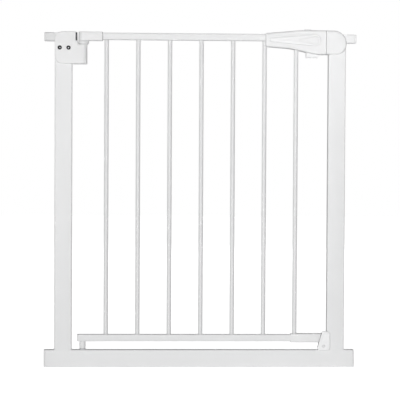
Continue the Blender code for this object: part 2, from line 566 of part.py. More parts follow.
def build_hinge_cap():
    """Moulded cap on the top rail's left end. Its left end is round about the hinge axis."""
    half = CAP_HALF_DEPTH
    top = TOP_RAIL_Z + HALF_RAIL + GAP + CAP_TOP_WALL
    right = HINGE_X + CAP_LENGTH
    plan = rounded([(HINGE_X - half, -half, half * 0.999), (right, -half, 0), (right, half, 0),
                    (HINGE_X - half, half, half * 0.999)], 32)
    bm = prism("Z", plan, CAP_BOTTOM, top)
    bevel_face(bm, 2, top, 0.0014, 2)
    bevel_face(bm, 2, CAP_BOTTOM, 0.0006, 1)
    cap = new_object("hinge_cap", bm, WHITE_PLASTIC)
    room = RAIL_SIZE + 2 * GAP
    cut(cap, prism("X", rectangle(0, TOP_RAIL_Z, room, room, RAIL_CORNER), HINGE_X + 0.0095, right + 0.01))
    cut(cap, rod("Z", HINGE_X, 0, PIN_RADIUS + RUN, CAP_BOTTOM - 0.01, TOP_RAIL_Z + HALF_RAIL - 0.0015))
    cut(cap, rod("Y", CAP_SCREW_X, TOP_RAIL_Z, 0.0018, 0, 0.05, SMALL_ROUND))
    cut(cap, rod("Y", CAP_SCREW_X, TOP_RAIL_Z, 0.0034, half - 0.0014, 0.05, SMALL_ROUND))
    screw("cap_screw", "Y", (CAP_SCREW_X, half - 0.0011, TOP_RAIL_Z), 1, (0.003, 0.0018),
          (0.0014, 0.0055), ZINC)


# --- handle --------------------------------------------------------------------------------------
def slimming(x):
    """Share of the full depth the handle has at a place along it."""
    return HANDLE_TAPER + (1 - HANDLE_TAPER) * min(1.0, max(0.0, (x - HANDLE_LEFT) / HANDLE_LENGTH))


def taper(bm):
    """Thins a handle piece towards the handle's left end."""
    for vert in bm.verts:
        vert.co.y *= slimming(vert.co.x)
    return bm


def handle_outline():
    """Front view of handle and latch housing together: slim at the left, full and round at the right."""
    def at(offset, z, radius):
        return HANDLE_LEFT + offset, TOP_RAIL_Z + z, radius
    right = OUTER + LATCH_BULGE
    return rounded([at(0, -0.0211, 0.0046), at(HANDLE_WAIST, -0.0253, 0.06),
                    at(HANDLE_BELLY, -HANDLE_FALL, 0.06), (right, HANDLE_FLOOR, 0.024),
                    (right, HANDLE_TOP - 0.001, 0.0295),
                    at(HANDLE_CREST, HANDLE_RISE + 0.0003, 0.15), at(0, 0.0098, 0.0046)], 48)


def keep_side(bm, x, side):
    """Keeps what lies on one side of an upright plane and closes the cut."""
    bmesh.ops.bisect_plane(bm, geom=bm.verts[:] + bm.edges[:] + bm.faces[:], clear_outer=True,
                           plane_co=(x, 0, 0), plane_no=(-side, 0, 0))
    bmesh.ops.holes_fill(bm, edges=[e for e in bm.edges if e.is_boundary])
    return bm


def handle_solid(name, side, cut_x, keep):
    """Front or rear half of the handle's envelope, on one side of an upright plane."""
    face = side * HANDLE_HALF_DEPTH
    bm = prism("Y", handle_outline(), side * GAP / 2, face)
    bevel_face(bm, 1, face, RIM, 3)
    return new_object(name, taper(keep_side(bm, cut_x, keep)), WHITE_PLASTIC)


def panel_outline(gap=0.0):
    """Long teardrop on the handle's front, round at its right end."""
    left, right = HANDLE_LEFT + 0.011, HANDLE_RIGHT - 0.0115
    middle, half = TOP_RAIL_Z - 0.006, 0.0138
    shape = rounded([(left, middle - 0.0045, 0.002), (right - half * 1.1, middle - half, 0.03),
                     (right, middle - half, half * 0.97), (right, middle + half, half * 0.97),
                     (right - half * 1.1, middle + half, 0.03), (left, middle + 0.0045, 0.002)], 32)
    return shrunk(shape, gap)


def insert_outline(gap=0.0):
    """Small pointed drop inside the panel."""
    right = HANDLE_RIGHT - 0.0165
    middle, half = TOP_RAIL_Z - 0.006, 0.0088
    shape = rounded([(right - 0.049, middle, 0.0012), (right - half, middle - half, 0.014),
                     (right, middle - half * 0.85, 0.007), (right, middle + half * 0.85, 0.007),
                     (right - half, middle + half, 0.014)], 32)
    return shrunk(shape, gap)


def build_handle_shells():
    """Front and rear shells, clipped round the top rail and the last bars."""
    for side, name in ((-1, "front"), (1, "rear")):
        face = side * HANDLE_HALF_DEPTH
        shell = handle_solid(f"handle_{name}", side, HANDLE_RIGHT, -1)
        depth = HANDLE_HALF_DEPTH - SHELL_WALL - PANEL_DEPTH
        room = prism("Y", shrunk(handle_outline(), SHELL_WALL), -side * 0.001, side * depth)
        cut(shell, taper(keep_side(room, HANDLE_RIGHT - SHELL_WALL, -1)))
        for x, z in HANDLE_SCREWS:
            reach = HANDLE_HALF_DEPTH * slimming(x) - PANEL_DEPTH - SHELL_WALL / 2
            post = 0.0034 if side < 0 else 0.005
            join(shell, rod("Y", x, z, post, side * GAP / 2, side * reach, SMALL_ROUND))
        if side < 0:
            join(shell, box((THUMB_RIB - 0.002, -0.012, TOP_RAIL_Z + HALF_RAIL + 0.0012),
                            (THUMB_RIB, -GAP / 2, HANDLE_TOP - 0.0012)))
            cut(shell, taper(prism("Y", panel_outline(), face - 0.003, face + PANEL_DEPTH)))
        rail = HALF_RAIL + GAP
        cut(shell, box((HANDLE_LEFT - 0.01, -rail, TOP_RAIL_Z - rail),
                       (RAIL_END + 0.002, rail, TOP_RAIL_Z + rail)))
        for x in BAR_X:
            if HANDLE_LEFT - BAR_RADIUS < x < HANDLE_RIGHT:
                cut(shell, rod("Z", x, 0, BAR_RADIUS + RUN, TOP_RAIL_Z - 0.08, TOP_RAIL_Z, SMALL_ROUND))
        cut(shell, box((TRIGGER_X - TRIGGER_HALF - RUN, -TRIGGER_DEPTH - RUN, TOP_RAIL_Z - 0.06),
                       (TRIGGER_X + TRIGGER_HALF + RUN, TRIGGER_DEPTH + RUN, TOP_RAIL_Z - 0.03)))
        cut(shell, box((THUMB_X - 0.0035 - THUMB_TRAVEL - RUN, -0.003 - RUN, TOP_RAIL_Z + HALF_RAIL + 0.0045),
                       (THUMB_X + 0.0035 + RUN, 0.003 + RUN, HANDLE_TOP + 0.01)))
        cut(shell, box((HANDLE_RIGHT - 0.01, -BOLT_DEPTH / 2 - RUN, BOLT_Z - RUN),
                       (HANDLE_RIGHT + 0.01, BOLT_DEPTH / 2 + RUN, BOLT_Z + BOLT_HEIGHT + RUN)))
        for x, z in HANDLE_SCREWS:
            if side < 0:
                cut(shell, rod("Y", x, z, 0.0017, -0.0095, 0.001, 8))
            else:
                cut(shell, rod("Y", x, z, 0.0019, -0.001, 0.05, 8))
                cut(shell, rod("Y", x, z, 0.0036, 0.0095, 0.05, SMALL_ROUND))


def build_handle_trim():
    face = -HANDLE_HALF_DEPTH
    back = face + PANEL_DEPTH - GAP
    bm = prism("Y", panel_outline(GAP), face + 0.0001, back)
    panel = new_object("handle_panel", taper(bm), WHITE_PLASTIC)
    cut(panel, taper(prism("Y", insert_outline(), face - 0.003, face + 0.0006)))
    bm = prism("Y", insert_outline(GAP), face - 0.0002, face + 0.0003)
    new_object("panel_insert", taper(bm), WHITE_PLASTIC)
    names = ("left", "lower", "upper")
    for (x, z), name in zip(HANDLE_SCREWS, names):
        screw(f"handle_screw_{name}", "Y", (x, 0.0095 + GAP, z), 1, (0.0031, 0.0019), (0.0014, 0.0150), ZINC)


# --- latch ---------------------------------------------------------------------------------------
def build_latch():
    """Sprung bolt, the squeeze trigger whose 45 degree cam draws it back, and the thumb slide."""
    heel = BOLT_Z - 0.014
    left = SPRING_SEAT + 0.0145
    tip = INNER - 0.0008
    nose = 0.0015
    crown = BOLT_Z + BOLT_HEIGHT
    outline = [(left, heel), (left + 0.002, heel), (left + 0.016, BOLT_Z), (tip - nose, BOLT_Z),
               (tip, BOLT_Z + nose), (tip, crown - nose), (tip - nose, crown), (left, crown)]
    bm = prism("Y", outline, -BOLT_DEPTH / 2, BOLT_DEPTH / 2)
    new_object("latch_bolt", bm, GREY_PLASTIC, (tip, 0, BOLT_Z + BOLT_HEIGHT / 2))

    top = BOLT_Z - BOLT_TRAVEL - GAP
    cam = left + 0.0026                          # where the cam line is level with the heel
    bottom = TOP_RAIL_Z - 0.0462
    x0, x1 = TRIGGER_X - TRIGGER_HALF, TRIGGER_X + TRIGGER_HALF
    outline = rounded([(x0, bottom, 0.002), (x1, bottom, 0.002), (x1, TOP_RAIL_Z - 0.034, 0.0005),
                       (x1 - 0.003, TOP_RAIL_Z - 0.034, 0), (x1 - 0.003, top, 0.0005),
                       (cam + top - heel, top, 0), (x0, heel - (cam - x0), 0)], 16)
    bm = prism("Y", outline, -TRIGGER_DEPTH, TRIGGER_DEPTH)
    trigger = new_object("squeeze_trigger", bm, WHITE_PLASTIC, (TRIGGER_X, 0, bottom))
    ear_left = left + 0.0104
    ear = TRIGGER_DEPTH + 0.0022
    join(trigger, box((ear_left, -ear, top - 0.013), (x1 - 0.0035, ear, top - 0.0005)))

    coil("bolt_spring", (SPRING_SEAT + GAP, 0, BOLT_Z + BOLT_HEIGHT / 2), (1, 0, 0), 0.003, 0.00045,
         left - SPRING_SEAT - 2 * GAP, 5, ZINC, 12)

    wall_top = HANDLE_TOP
    cap = prism("Z", rectangle(THUMB_X, 0, 0.016, 0.013, 0.003), wall_top + GAP, wall_top + 0.002)
    bevel_face(cap, 2, wall_top + 0.002, 0.0008, 2)
    thumb = new_object("thumb_slide", cap, GREY_PLASTIC, (THUMB_X, 0, wall_top))
    foot = TOP_RAIL_Z + HALF_RAIL + 0.0015
    join(thumb, box((THUMB_X - 0.0035, -0.003, foot + 0.001), (THUMB_X + 0.0035, 0.003, wall_top + 0.001)))
    join(thumb, box((THUMB_X - 0.0065, -0.005, foot), (THUMB_X + 0.0065, 0.005, foot + 0.004)))
    coil("thumb_spring", (THUMB_RIB + GAP, 0, foot + 0.002), (1, 0, 0), 0.0018, 0.0003,
         THUMB_X - 0.0065 - THUMB_RIB - 2 * GAP, 4, ZINC, 12)


# --- latch housing -------------------------------------------------------------------------------
def build_latch_housing():
    """Two clamshells on the right upright. The strike notch is open towards the back."""
    for side, name in ((-1, "front"), (1, "rear")):
        shell = handle_solid(f"latch_housing_{name}", side, LATCH_LEFT, 1)
        cut(shell, box((INNER - GAP, -HALF_TUBE - GAP, HANDLE_FLOOR - 0.01),
                       (OUTER + 0.01, HALF_TUBE + GAP, FRAME_HEIGHT + GAP)))
        cut(shell, box((LATCH_LEFT - 0.01, -BOLT_DEPTH / 2 - RUN, BOLT_Z - 0.001),
                       (INNER, 0.05, BOLT_Z + BOLT_HEIGHT + LIFT_TRAVEL + 0.001)))
        for offset in (-1, 1):
            x = UPRIGHT_X + offset * SCREW_SPACING / 2
            if side < 0:
                cut(shell, rod("Y", x, LATCH_SCREW_Z, CLAMP_SHANK + RUN, -HALF_TUBE - 0.0038, 0, SMALL_ROUND))
            else:
                cut(shell, rod("Y", x, LATCH_SCREW_Z, CLAMP_SHANK + RUN, 0, 0.05, SMALL_ROUND))
                cut(shell, rod("Y", x, LATCH_SCREW_Z, CLAMP_HEAD[0] + RUN, LATCH_SEAT, 0.05, ROUND))
    for offset, name in ((-1, "inner"), (1, "outer")):
        x = UPRIGHT_X + offset * SCREW_SPACING / 2
        screw(f"latch_screw_{name}", "Y", (x, LATCH_SEAT + GAP, LATCH_SCREW_Z), 1, CLAMP_HEAD,
              (CLAMP_SHANK, LATCH_SEAT + HALF_TUBE + 0.0035), ZINC)


# --- door stop -----------------------------------------------------------------------------------
def build_door_stop():
    """Block on the base rail and the plate that turns on its screw in front of the door's corner."""
    left = STOP_X - 0.0105
    front = STOP_BACK + RUN
    bm = box((left, front, BASE_HEIGHT + GAP), (INNER - GAP, HALF_TUBE, BASE_HEIGHT + STOP_BLOCK_HEIGHT))
    block = new_object("stop_block", bm, WHITE_PLASTIC)
    cut(block, rod("Y", STOP_X, STOP_Z, STOP_SHANK + GAP, front - 0.01, HALF_TUBE - 0.003, SMALL_ROUND))
    top, foot = STOP_Z + STOP_HEIGHT, STOP_Z - STOP_FOOT
    outline = rounded([(STOP_X - 0.0155, foot + 0.003, 0.0015), (STOP_X - 0.0095, foot, 0.0025),
                       (STOP_X + 0.0146, foot, 0.007), (STOP_X + 0.0146, top - 0.002, 0.007),
                       (STOP_X - 0.0032, top, 0.0025)], 32)
    face = STOP_BACK - STOP_THICKNESS
    bm = prism("Y", outline, STOP_BACK, face)
    bevel_face(bm, 1, face, 0.0012, 2)
    plate = new_object("door_stop", bm, WHITE_PLASTIC, (STOP_X, STOP_BACK, STOP_Z))
    cut(plate, rod("Y", STOP_X, STOP_Z, STOP_SHANK + RUN, face - 0.01, STOP_BACK + 0.01, SMALL_ROUND))
    cut(plate, rod("Y", STOP_X, STOP_Z, STOP_HEAD[0] + RUN, face - 0.01, face + 0.0024, SMALL_ROUND))
    seat = face + 0.0024 - RUN
    screw("stop_screw", "Y", (STOP_X, seat, STOP_Z), -1, STOP_HEAD, (STOP_SHANK, 0.015), ZINC)


def main():
    clear_scene()
    build_frame_tubes()
    build_end_plugs()
    build_base_bush()
    build_hinge_housing()
    build_hinge_screws()
    build_hinge_core()
    build_door_frame()
    build_door_ends()
    build_hinge_cap()
    build_handle_shells()
    build_handle_trim()
    build_latch()
    build_latch_housing()
    build_door_stop()


main()
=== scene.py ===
import math

import bmesh
import bpy
from mathutils import Matrix, Vector


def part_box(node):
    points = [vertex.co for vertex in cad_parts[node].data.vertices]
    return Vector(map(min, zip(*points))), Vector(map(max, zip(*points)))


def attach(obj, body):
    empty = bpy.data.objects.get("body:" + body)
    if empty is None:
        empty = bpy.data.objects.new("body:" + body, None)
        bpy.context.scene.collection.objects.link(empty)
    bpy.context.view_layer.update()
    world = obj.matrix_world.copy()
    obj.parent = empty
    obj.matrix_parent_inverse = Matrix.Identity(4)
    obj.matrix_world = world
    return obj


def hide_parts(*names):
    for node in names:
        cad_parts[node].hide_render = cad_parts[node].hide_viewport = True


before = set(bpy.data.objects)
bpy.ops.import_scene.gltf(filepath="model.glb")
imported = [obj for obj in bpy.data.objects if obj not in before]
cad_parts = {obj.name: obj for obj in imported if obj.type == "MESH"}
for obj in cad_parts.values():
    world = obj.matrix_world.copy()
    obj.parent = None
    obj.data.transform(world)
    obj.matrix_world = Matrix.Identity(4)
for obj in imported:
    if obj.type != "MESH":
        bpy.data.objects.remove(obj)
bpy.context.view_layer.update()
scene = bpy.context.scene

# studio

studio = {
    "target": (0.0, 0.0, 0.3849),   # what the camera looks at
    "distance": 4.0,
    "azimuth": -2.68,
    "elevation": 1.67,
    "roll": 0.30,
    "lens": 156.3,
    "surround": 1.0,                # brightness of the white surround as the camera sees it
    "ambient": 0.235,               # what the surround adds to the light on the gate
    "floorSeen": 0.82,              # how much the paper floor is lifted to white
    "floorGlow": 0.06,              # light the floor really gives
    "floorReach": 9.0,              # half the floor's side
}

# a broad key from the front left, a small accent on the latch, a weak fill behind
lights = {
    "keyLight": {"place": (-0.75, -4.6, 0.75), "aim": (6.1, 0, 0.4), "size": (1.0, 1.2), "power": 187},
    "accentLight": {"place": (0.55, -1.3, 1.15), "aim": (0.34, 0, 0.74), "size": (0.2, 0.2), "power": 0.034,
                    "spread": 24},
    "backFill": {"place": (1.6, 4.4, 1.5), "aim": (0, 0, 0.45), "size": (2.4, 2.0), "power": 20},
}


def setUpCamera():
    azimuth, elevation = math.radians(studio["azimuth"]), math.radians(studio["elevation"])
    back = Vector((math.sin(azimuth) * math.cos(elevation), -math.cos(azimuth) * math.cos(elevation),
                   math.sin(elevation)))
    data = bpy.data.cameras.new("studioCamera")
    data.lens = studio["lens"]
    data.sensor_width = 36
    camera = bpy.data.objects.new("studioCamera", data)
    camera.location = Vector(studio["target"]) + back * studio["distance"]
    roll = Matrix.Rotation(math.radians(studio["roll"]), 3, "Z")
    camera.rotation_euler = ((-back).to_track_quat("-Z", "Y").to_matrix() @ roll).to_euler()
    scene.collection.objects.link(camera)
    scene.camera = camera


def areaLight(name, place, aim, size, power, spread=180):
    data = bpy.data.lights.new(name, "AREA")
    data.shape = "RECTANGLE"
    data.size, data.size_y = size
    data.energy = power
    data.spread = math.radians(spread)
    light = bpy.data.objects.new(name, data)
    light.location = place
    light.rotation_euler = (Vector(aim) - Vector(place)).to_track_quat("-Z", "Y").to_euler()
    scene.collection.objects.link(light)


def setUpLight():
    world = bpy.data.worlds.new("studioWorld")
    scene.world = world
    world.use_nodes = True
    nodes, links = world.node_tree.nodes, world.node_tree.links
    seen = nodes["Background"]
    seen.inputs["Color"].default_value = (1, 1, 1, 1)
    seen.inputs["Strength"].default_value = studio["surround"]
    cast = nodes.new("ShaderNodeBackground")
    cast.inputs["Color"].default_value = (1, 1, 1, 1)
    cast.inputs["Strength"].default_value = studio["ambient"]
    rays = nodes.new("ShaderNodeLightPath")
    mix = nodes.new("ShaderNodeMixShader")
    links.new(rays.outputs["Is Camera Ray"], mix.inputs["Fac"])
    links.new(cast.outputs["Background"], mix.inputs[1])
    links.new(seen.outputs["Background"], mix.inputs[2])
    links.new(mix.outputs["Shader"], nodes["World Output"].inputs["Surface"])
    for name, values in lights.items():
        areaLight(name, **values)
    print("studio lit")


def layFloor():
    bm = bmesh.new()
    bmesh.ops.create_grid(bm, x_segments=1, y_segments=1, size=studio["floorReach"])
    floor = shape(bm, "studioFloor")
    paint = bpy.data.materials.new("floorPaper")
    paint.use_nodes = True
    shader = paint.node_tree.nodes["Principled BSDF"]
    shader.inputs["Base Color"].default_value = (0.92, 0.92, 0.92, 1)
    shader.inputs["Roughness"].default_value = 0.95
    shader.inputs["Specular IOR Level"].default_value = 0.1
    shader.inputs["Emission Color"].default_value = (1, 1, 1, 1)
    nodes, links = paint.node_tree.nodes, paint.node_tree.links
    rays = nodes.new("ShaderNodeLightPath")
    lift = nodes.new("ShaderNodeMapRange")
    lift.inputs["To Min"].default_value = studio["floorGlow"]
    lift.inputs["To Max"].default_value = studio["floorSeen"]
    links.new(rays.outputs["Is Camera Ray"], lift.inputs["Value"])
    links.new(lift.outputs["Result"], shader.inputs["Emission Strength"])
    floor.data.materials.append(paint)


# finishes

class Finish:
    def __init__(self, name, colour, roughness, metallic=0.0, **sockets):
        self.material = bpy.data.materials.new(name)
        self.material.use_nodes = True
        self.tree = self.material.node_tree
        self.shader = self.tree.nodes["Principled BSDF"]
        self.shader.inputs["Base Color"].default_value = (*colour, 1)
        self.shader.inputs["Roughness"].default_value = roughness
        self.shader.inputs["Metallic"].default_value = metallic
        for socket, value in sockets.items():
            self.shader.inputs[socket.replace("_", " ")].default_value = value
        self.place = self.tree.nodes.new("ShaderNodeTexCoord").outputs["Object"]

    def node(self, kind, **settings):
        made = self.tree.nodes.new("ShaderNode" + kind)
        for key, value in settings.items():
            made.inputs[key].default_value = value
        return made

    def link(self, out, into):
        self.tree.links.new(out, into)

    def noise(self, scale, detail=2.0, stretch=None):
        made = self.node("TexNoise", Scale=scale, Detail=detail)
        source = self.place
        if stretch:
            mapping = self.node("Mapping")
            mapping.inputs["Scale"].default_value = stretch
            self.link(source, mapping.inputs["Vector"])
            source = mapping.outputs["Vector"]
        self.link(source, made.inputs["Vector"])
        return made.outputs["Fac"]

    def grain(self, size):
        made = self.node("TexVoronoi", Scale=1.0 / size)
        self.link(self.place, made.inputs["Vector"])
        return made.outputs["Distance"]

    def mottle(self, source, colour, shares, spread=(0.3, 0.7)):
        # base colour, between two shares of the same tone
        made = self.node("ValToRGB")
        for element, position, share in zip(made.color_ramp.elements, spread, shares):
            element.position = position
            element.color = (*tone(colour, share), 1)
        self.link(source, made.inputs["Fac"])
        self.link(made.outputs["Color"], self.shader.inputs["Base Color"])

    def dull(self, source, low, high):
        # roughness between two values
        made = self.node("MapRange")
        for socket, value in zip(("From Min", "From Max", "To Min", "To Max"), (0.3, 0.7, low, high)):
            made.inputs[socket].default_value = value
        self.link(source, made.inputs["Value"])
        self.link(made.outputs["Result"], self.shader.inputs["Roughness"])

    def bump(self, *layers):
        normal = None
        for height, distance in layers:
            made = self.node("Bump", Strength=1.0, Distance=distance)
            self.link(height, made.inputs["Height"])
            if normal:
                self.link(normal, made.inputs["Normal"])
            normal = made.outputs["Normal"]
        self.link(normal, self.shader.inputs["Normal"])


def tone(colour, share):
    return tuple(channel * share for channel in colour)


powderCoat = {"colour": (0.800, 0.803, 0.806), "roughness": 0.44, "peel": 0.0016, "peelDepth": 0.00006}


def makePowderCoat(name, share=1.0):
    white, roughness = tone(powderCoat["colour"], share), powderCoat["roughness"]
    coat = Finish(name, white, roughness, Specular_IOR_Level=0.3)
    cloud = coat.noise(9, 3)
    coat.mottle(cloud, white, (0.985, 1.012))
    coat.dull(cloud, roughness - 0.04, roughness + 0.05)
    coat.bump((coat.noise(1 / powderCoat["peel"], 2), powderCoat["peelDepth"]),
              (coat.noise(2600, 1), 0.000008))
    return coat.material


def makeMoulded(name, colour, roughness, spark, depth, gloss=0.45):
    plastic = Finish(name, colour, roughness, Specular_IOR_Level=gloss)
    flow = plastic.noise(22, 3, stretch=(1, 1, 0.45))
    plastic.mottle(flow, colour, (0.982, 1.015), (0.28, 0.72))
    plastic.dull(flow, roughness - 0.04, roughness + 0.05)
    plastic.bump((plastic.grain(spark), depth), (plastic.noise(1800, 2), depth * 0.5))
    return plastic.material


def makeMetal(name, colour, roughness, metallic, grain, shares, worn, pits=0.0, brush=0.0):
    metal = Finish(name, colour, roughness, metallic)
    cloud = metal.noise(*grain)
    metal.mottle(cloud, colour, shares)
    metal.dull(cloud, *worn)
    if pits:
        metal.bump((cloud, pits))
    if brush:
        metal.bump((metal.noise(700, 2, stretch=(1, 1, 7)), brush))
    return metal.material


def makeWeld():
    colour = (0.79, 0.793, 0.796)
    bead = Finish("paintedWeld", colour, 0.46, Specular_IOR_Level=0.3)
    lumps = bead.noise(420, 3)
    bead.mottle(lumps, colour, (0.93, 1.01))
    bead.bump((lumps, 0.0004), (bead.noise(1500, 2), 0.00008))
    return bead.material


finishes = {
    "powder": makePowderCoat("whitePowderCoat"),
    # the same powder coat 12% darker: painted shade for the left stub and its ground weld
    "paintedShadePowder": makePowderCoat("paintedShadePowderCoat", 0.88),
    "housing": makeMoulded("housingPlastic", (0.820, 0.822, 0.824), 0.48, 0.00042, 0.000018, 0.32),
    "handle": makeMoulded("handlePlastic", (0.802, 0.804, 0.807), 0.46, 0.00042, 0.000016, 0.32),
    "panel": makeMoulded("panelPlastic", (0.808, 0.810, 0.814), 0.40, 0.0007, 0.000006, 0.36),
    "stop": makeMoulded("stopPlastic", (0.885, 0.887, 0.890), 0.46, 0.00042, 0.000016, 0.32),
    "nylon": makeMoulded("greyNylon", (0.62, 0.63, 0.645), 0.46, 0.0005, 0.00002),
    # near-black plastic for the strips that are painted shade in the hinge slit, at the hinge cap's end and
    # along the stop plate
    "softGrey": makeMoulded("paintedShadeGreyPlastic", (0.11, 0.112, 0.115), 0.6, 0.0006, 0.00002, 0.3),
    "zinc": makeMetal("zincPlate", (0.60, 0.61, 0.63), 0.28, 1.0, grain=(160, 3), shares=(0.86, 1.12),
                      worn=(0.22, 0.38), brush=0.00002),
    "spring": makeMetal("springSteel", (0.42, 0.43, 0.45), 0.3, 1.0, grain=(900, 2), shares=(0.8, 1.15),
                        worn=(0.24, 0.4)),
    "black": makeMetal("blackOxide", (0.012, 0.012, 0.013), 0.38, 0.4, grain=(1200, 3), shares=(0.7, 1.7),
                       worn=(0.3, 0.5), pits=0.00002),
    "weld": makeWeld(),
}
# material slot of the frame that each finish belongs to, white_plastic where none is named
slotOf = {"powder": "white_paint", "paintedShadePowder": "white_paint", "weld": "white_paint",
          "nylon": "grey_plastic", "zinc": "zinc_steel", "spring": "zinc_steel", "black": "black_steel"}
print("finishes ready:", len(finishes))

# modelling helpers


def across(axis, u, v, w):
    return {"X": (w, u, v), "Y": (u, w, v), "Z": (u, v, w)}[axis]


def roundedFace(bm, axis, corners, level, arc=8):
    # a flat face from (u, v, radius) corners, each corner rounded by a vertex bevel
    verts = [bm.verts.new(across(axis, u, v, level)) for u, v, radius in corners]
    bm.faces.new(verts)
    for vert, (u, v, radius) in zip(verts, corners):
        if radius:
            one, two = [edge.other_vert(vert).co - vert.co for edge in vert.link_edges]
            half = one.angle(two) / 2
            count = max(2, round((math.pi - 2 * half) / (math.pi / 2) * arc))
            bmesh.ops.bevel(bm, geom=[vert], offset=radius / math.tan(half), segments=count,
                            affect="VERTICES", profile=0.5, material=-1)
    return bm


def pushFaces(bm, faces, axis, distance):
    made = bmesh.ops.extrude_face_region(bm, geom=faces)
    verts = [item for item in made["geom"] if isinstance(item, bmesh.types.BMVert)]
    bmesh.ops.translate(bm, verts=verts, vec=across(axis, 0, 0, distance))
    return verts


def block(axis, corners, start, end, arc=8):
    # rounded outline pushed along an axis
    bm = roundedFace(bmesh.new(), axis, corners, start, arc)
    pushFaces(bm, bm.faces[:], axis, end - start)
    bmesh.ops.recalc_face_normals(bm, faces=bm.faces)
    return bm


def box(low, high, radius=0.0):
    corners = [(low[0], low[1], radius), (high[0], low[1], radius), (high[0], high[1], radius),
               (low[0], high[1], radius)]
    return block("Z", corners, low[2], high[2], 5)


def rectangle(u, v, width, height, radius):
    return [(u - width / 2, v - height / 2, radius), (u + width / 2, v - height / 2, radius),
            (u + width / 2, v + height / 2, radius), (u - width / 2, v + height / 2, radius)]


def rod(axis, u, v, radius, start, end, steps=32):
    bm = bmesh.new()
    bmesh.ops.create_cone(bm, cap_ends=True, segments=steps, radius1=radius, radius2=radius,
                          depth=abs(end - start))
    turnTo(bm, axis, across(axis, u, v, (start + end) / 2))
    return bm


def turnTo(bm, axis, centre):
    turn = {"X": Matrix.Rotation(math.pi / 2, 4, "Y"), "Y": Matrix.Rotation(-math.pi / 2, 4, "X"),
            "Z": Matrix.Identity(4)}[axis]
    bmesh.ops.transform(bm, matrix=Matrix.Translation(centre) @ turn, verts=bm.verts)
    return bm


def turned(axis, centre, profile, steps=48):
    # profile of (radius, height) points spun all the way round
    bm = bmesh.new()
    verts = [bm.verts.new((radius, 0, height)) for radius, height in profile]
    for pair in zip(verts, verts[1:]):
        bm.edges.new(pair)
    if profile[0][0] > 0 or profile[-1][0] > 0:
        bm.edges.new((verts[-1], verts[0]))
    bmesh.ops.spin(bm, geom=bm.verts[:] + bm.edges[:], cent=(0, 0, 0), axis=(0, 0, 1), dvec=(0, 0, 0),
                   angle=math.tau, steps=steps, use_merge=True, use_duplicate=False)
    bmesh.ops.remove_doubles(bm, verts=bm.verts, dist=1e-6)
    bmesh.ops.recalc_face_normals(bm, faces=bm.faces)
    return turnTo(bm, axis, centre)


def coil(centre, axis, radius, wire, length, turns, steps=28):
    # wire section spun along a helix
    bm = bmesh.new()
    bmesh.ops.create_circle(bm, cap_ends=True, segments=10, radius=wire)
    bmesh.ops.rotate(bm, verts=bm.verts, cent=(0, 0, 0), matrix=Matrix.Rotation(math.pi / 2, 3, "X"))
    bmesh.ops.translate(bm, verts=bm.verts, vec=(radius, 0, wire))
    bmesh.ops.spin(bm, geom=bm.faces[:], cent=(0, 0, 0), axis=(0, 0, 1),
                   dvec=(0, 0, (length - 2 * wire) / (turns * steps)), angle=math.tau * turns,
                   steps=turns * steps, use_merge=False, use_duplicate=False)
    bmesh.ops.recalc_face_normals(bm, faces=bm.faces)
    return turnTo(bm, axis, centre)


def softenRim(bm, axisIndex, level, width, segments=4):
    rim = [edge for edge in bm.edges if all(abs(vert.co[axisIndex] - level) < 1e-6 for vert in edge.verts)]
    bmesh.ops.bevel(bm, geom=rim, offset=width, segments=segments, affect="EDGES", profile=0.5, material=-1)
    return bm


def keepSide(bm, x, side):
    # keeps what is on one side of an upright plane and closes the cut
    bmesh.ops.bisect_plane(bm, geom=bm.verts[:] + bm.edges[:] + bm.faces[:], clear_outer=True,
                           plane_co=(x, 0, 0), plane_no=(-side, 0, 0))
    bmesh.ops.holes_fill(bm, edges=[edge for edge in bm.edges if edge.is_boundary])
    return bm


def shape(bm, name="blank"):
    mesh = bpy.data.meshes.new(name)
    bm.to_mesh(mesh)
    bm.free()
    made = bpy.data.objects.new(name, mesh)
    scene.collection.objects.link(made)
    return made


def carve(bm, *cutters, operation="DIFFERENCE"):
    # cuts, joins or intersects closed shapes, and gives the result as a new bmesh
    blank = shape(bm)
    tools = [shape(cutter) for cutter in cutters]
    for tool in tools:
        modifier = blank.modifiers.new("carve", "BOOLEAN")
        modifier.operation = operation
        modifier.solver = "EXACT"
        modifier.object = tool
    graph = bpy.context.evaluated_depsgraph_get()
    result = bmesh.new()
    result.from_mesh(blank.evaluated_get(graph).to_mesh())
    for item in (blank, *tools):
        bpy.data.objects.remove(item)
    bmesh.ops.remove_doubles(result, verts=result.verts, dist=2e-6)
    bmesh.ops.dissolve_degenerate(result, edges=result.edges, dist=1e-6)
    return result


def addPiece(name, bm, finish, body, stands=(), slot=None, sharp=34, bevel=0.0, segments=2):
    piece = shape(bm, name)
    slot = slot or slotOf.get(finish, "white_plastic")
    piece.data.shade_smooth()
    piece.data.set_sharp_from_angle(angle=math.radians(sharp))
    piece.data.materials.append(finishes[finish])
    if bevel:
        modifier = piece.modifiers.new("edges", "BEVEL")
        modifier.width = bevel
        modifier.segments = segments
        modifier.limit_method = "ANGLE"
        modifier.angle_limit = math.radians(40)
        modifier.use_clamp_overlap = True
        modifier.harden_normals = True
    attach(piece, body)
    if stands:
        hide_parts(*stands)


def cad(node):
    low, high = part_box(node)
    return Vector(low), Vector(high)


def middleOf(node):
    low, high = cad(node)
    return (low + high) / 2


def spots(*nodes):
    # where pieces along Y stand, as (x, z)
    places = []
    for node in nodes:
        low, high = cad(node)
        places.append(((low.x + high.x) / 2, (low.z + high.z) / 2))
    return places


# play round what a piece holds, play that lets one turn or slide, and half the seam of a split shell
play = {"room": 0.0003, "run": 0.0004, "seam": 0.00015}

# frame tubes

tubing = {"wall": 0.0012, "corner": 0.0026, "railCorner": 0.0021, "edge": 0.00022, "spindleHole": 0.0053,
          "clampHole": 0.0028, "capHole": 0.0018, "bushLip": 0.0013}
clampScrews = {"left": ("hinge_screw_outer", "hinge_screw_inner"),
               "right": ("latch_screw_inner", "latch_screw_outer")}
handleScrews = ("handle_screw_left", "handle_screw_lower", "handle_screw_upper")


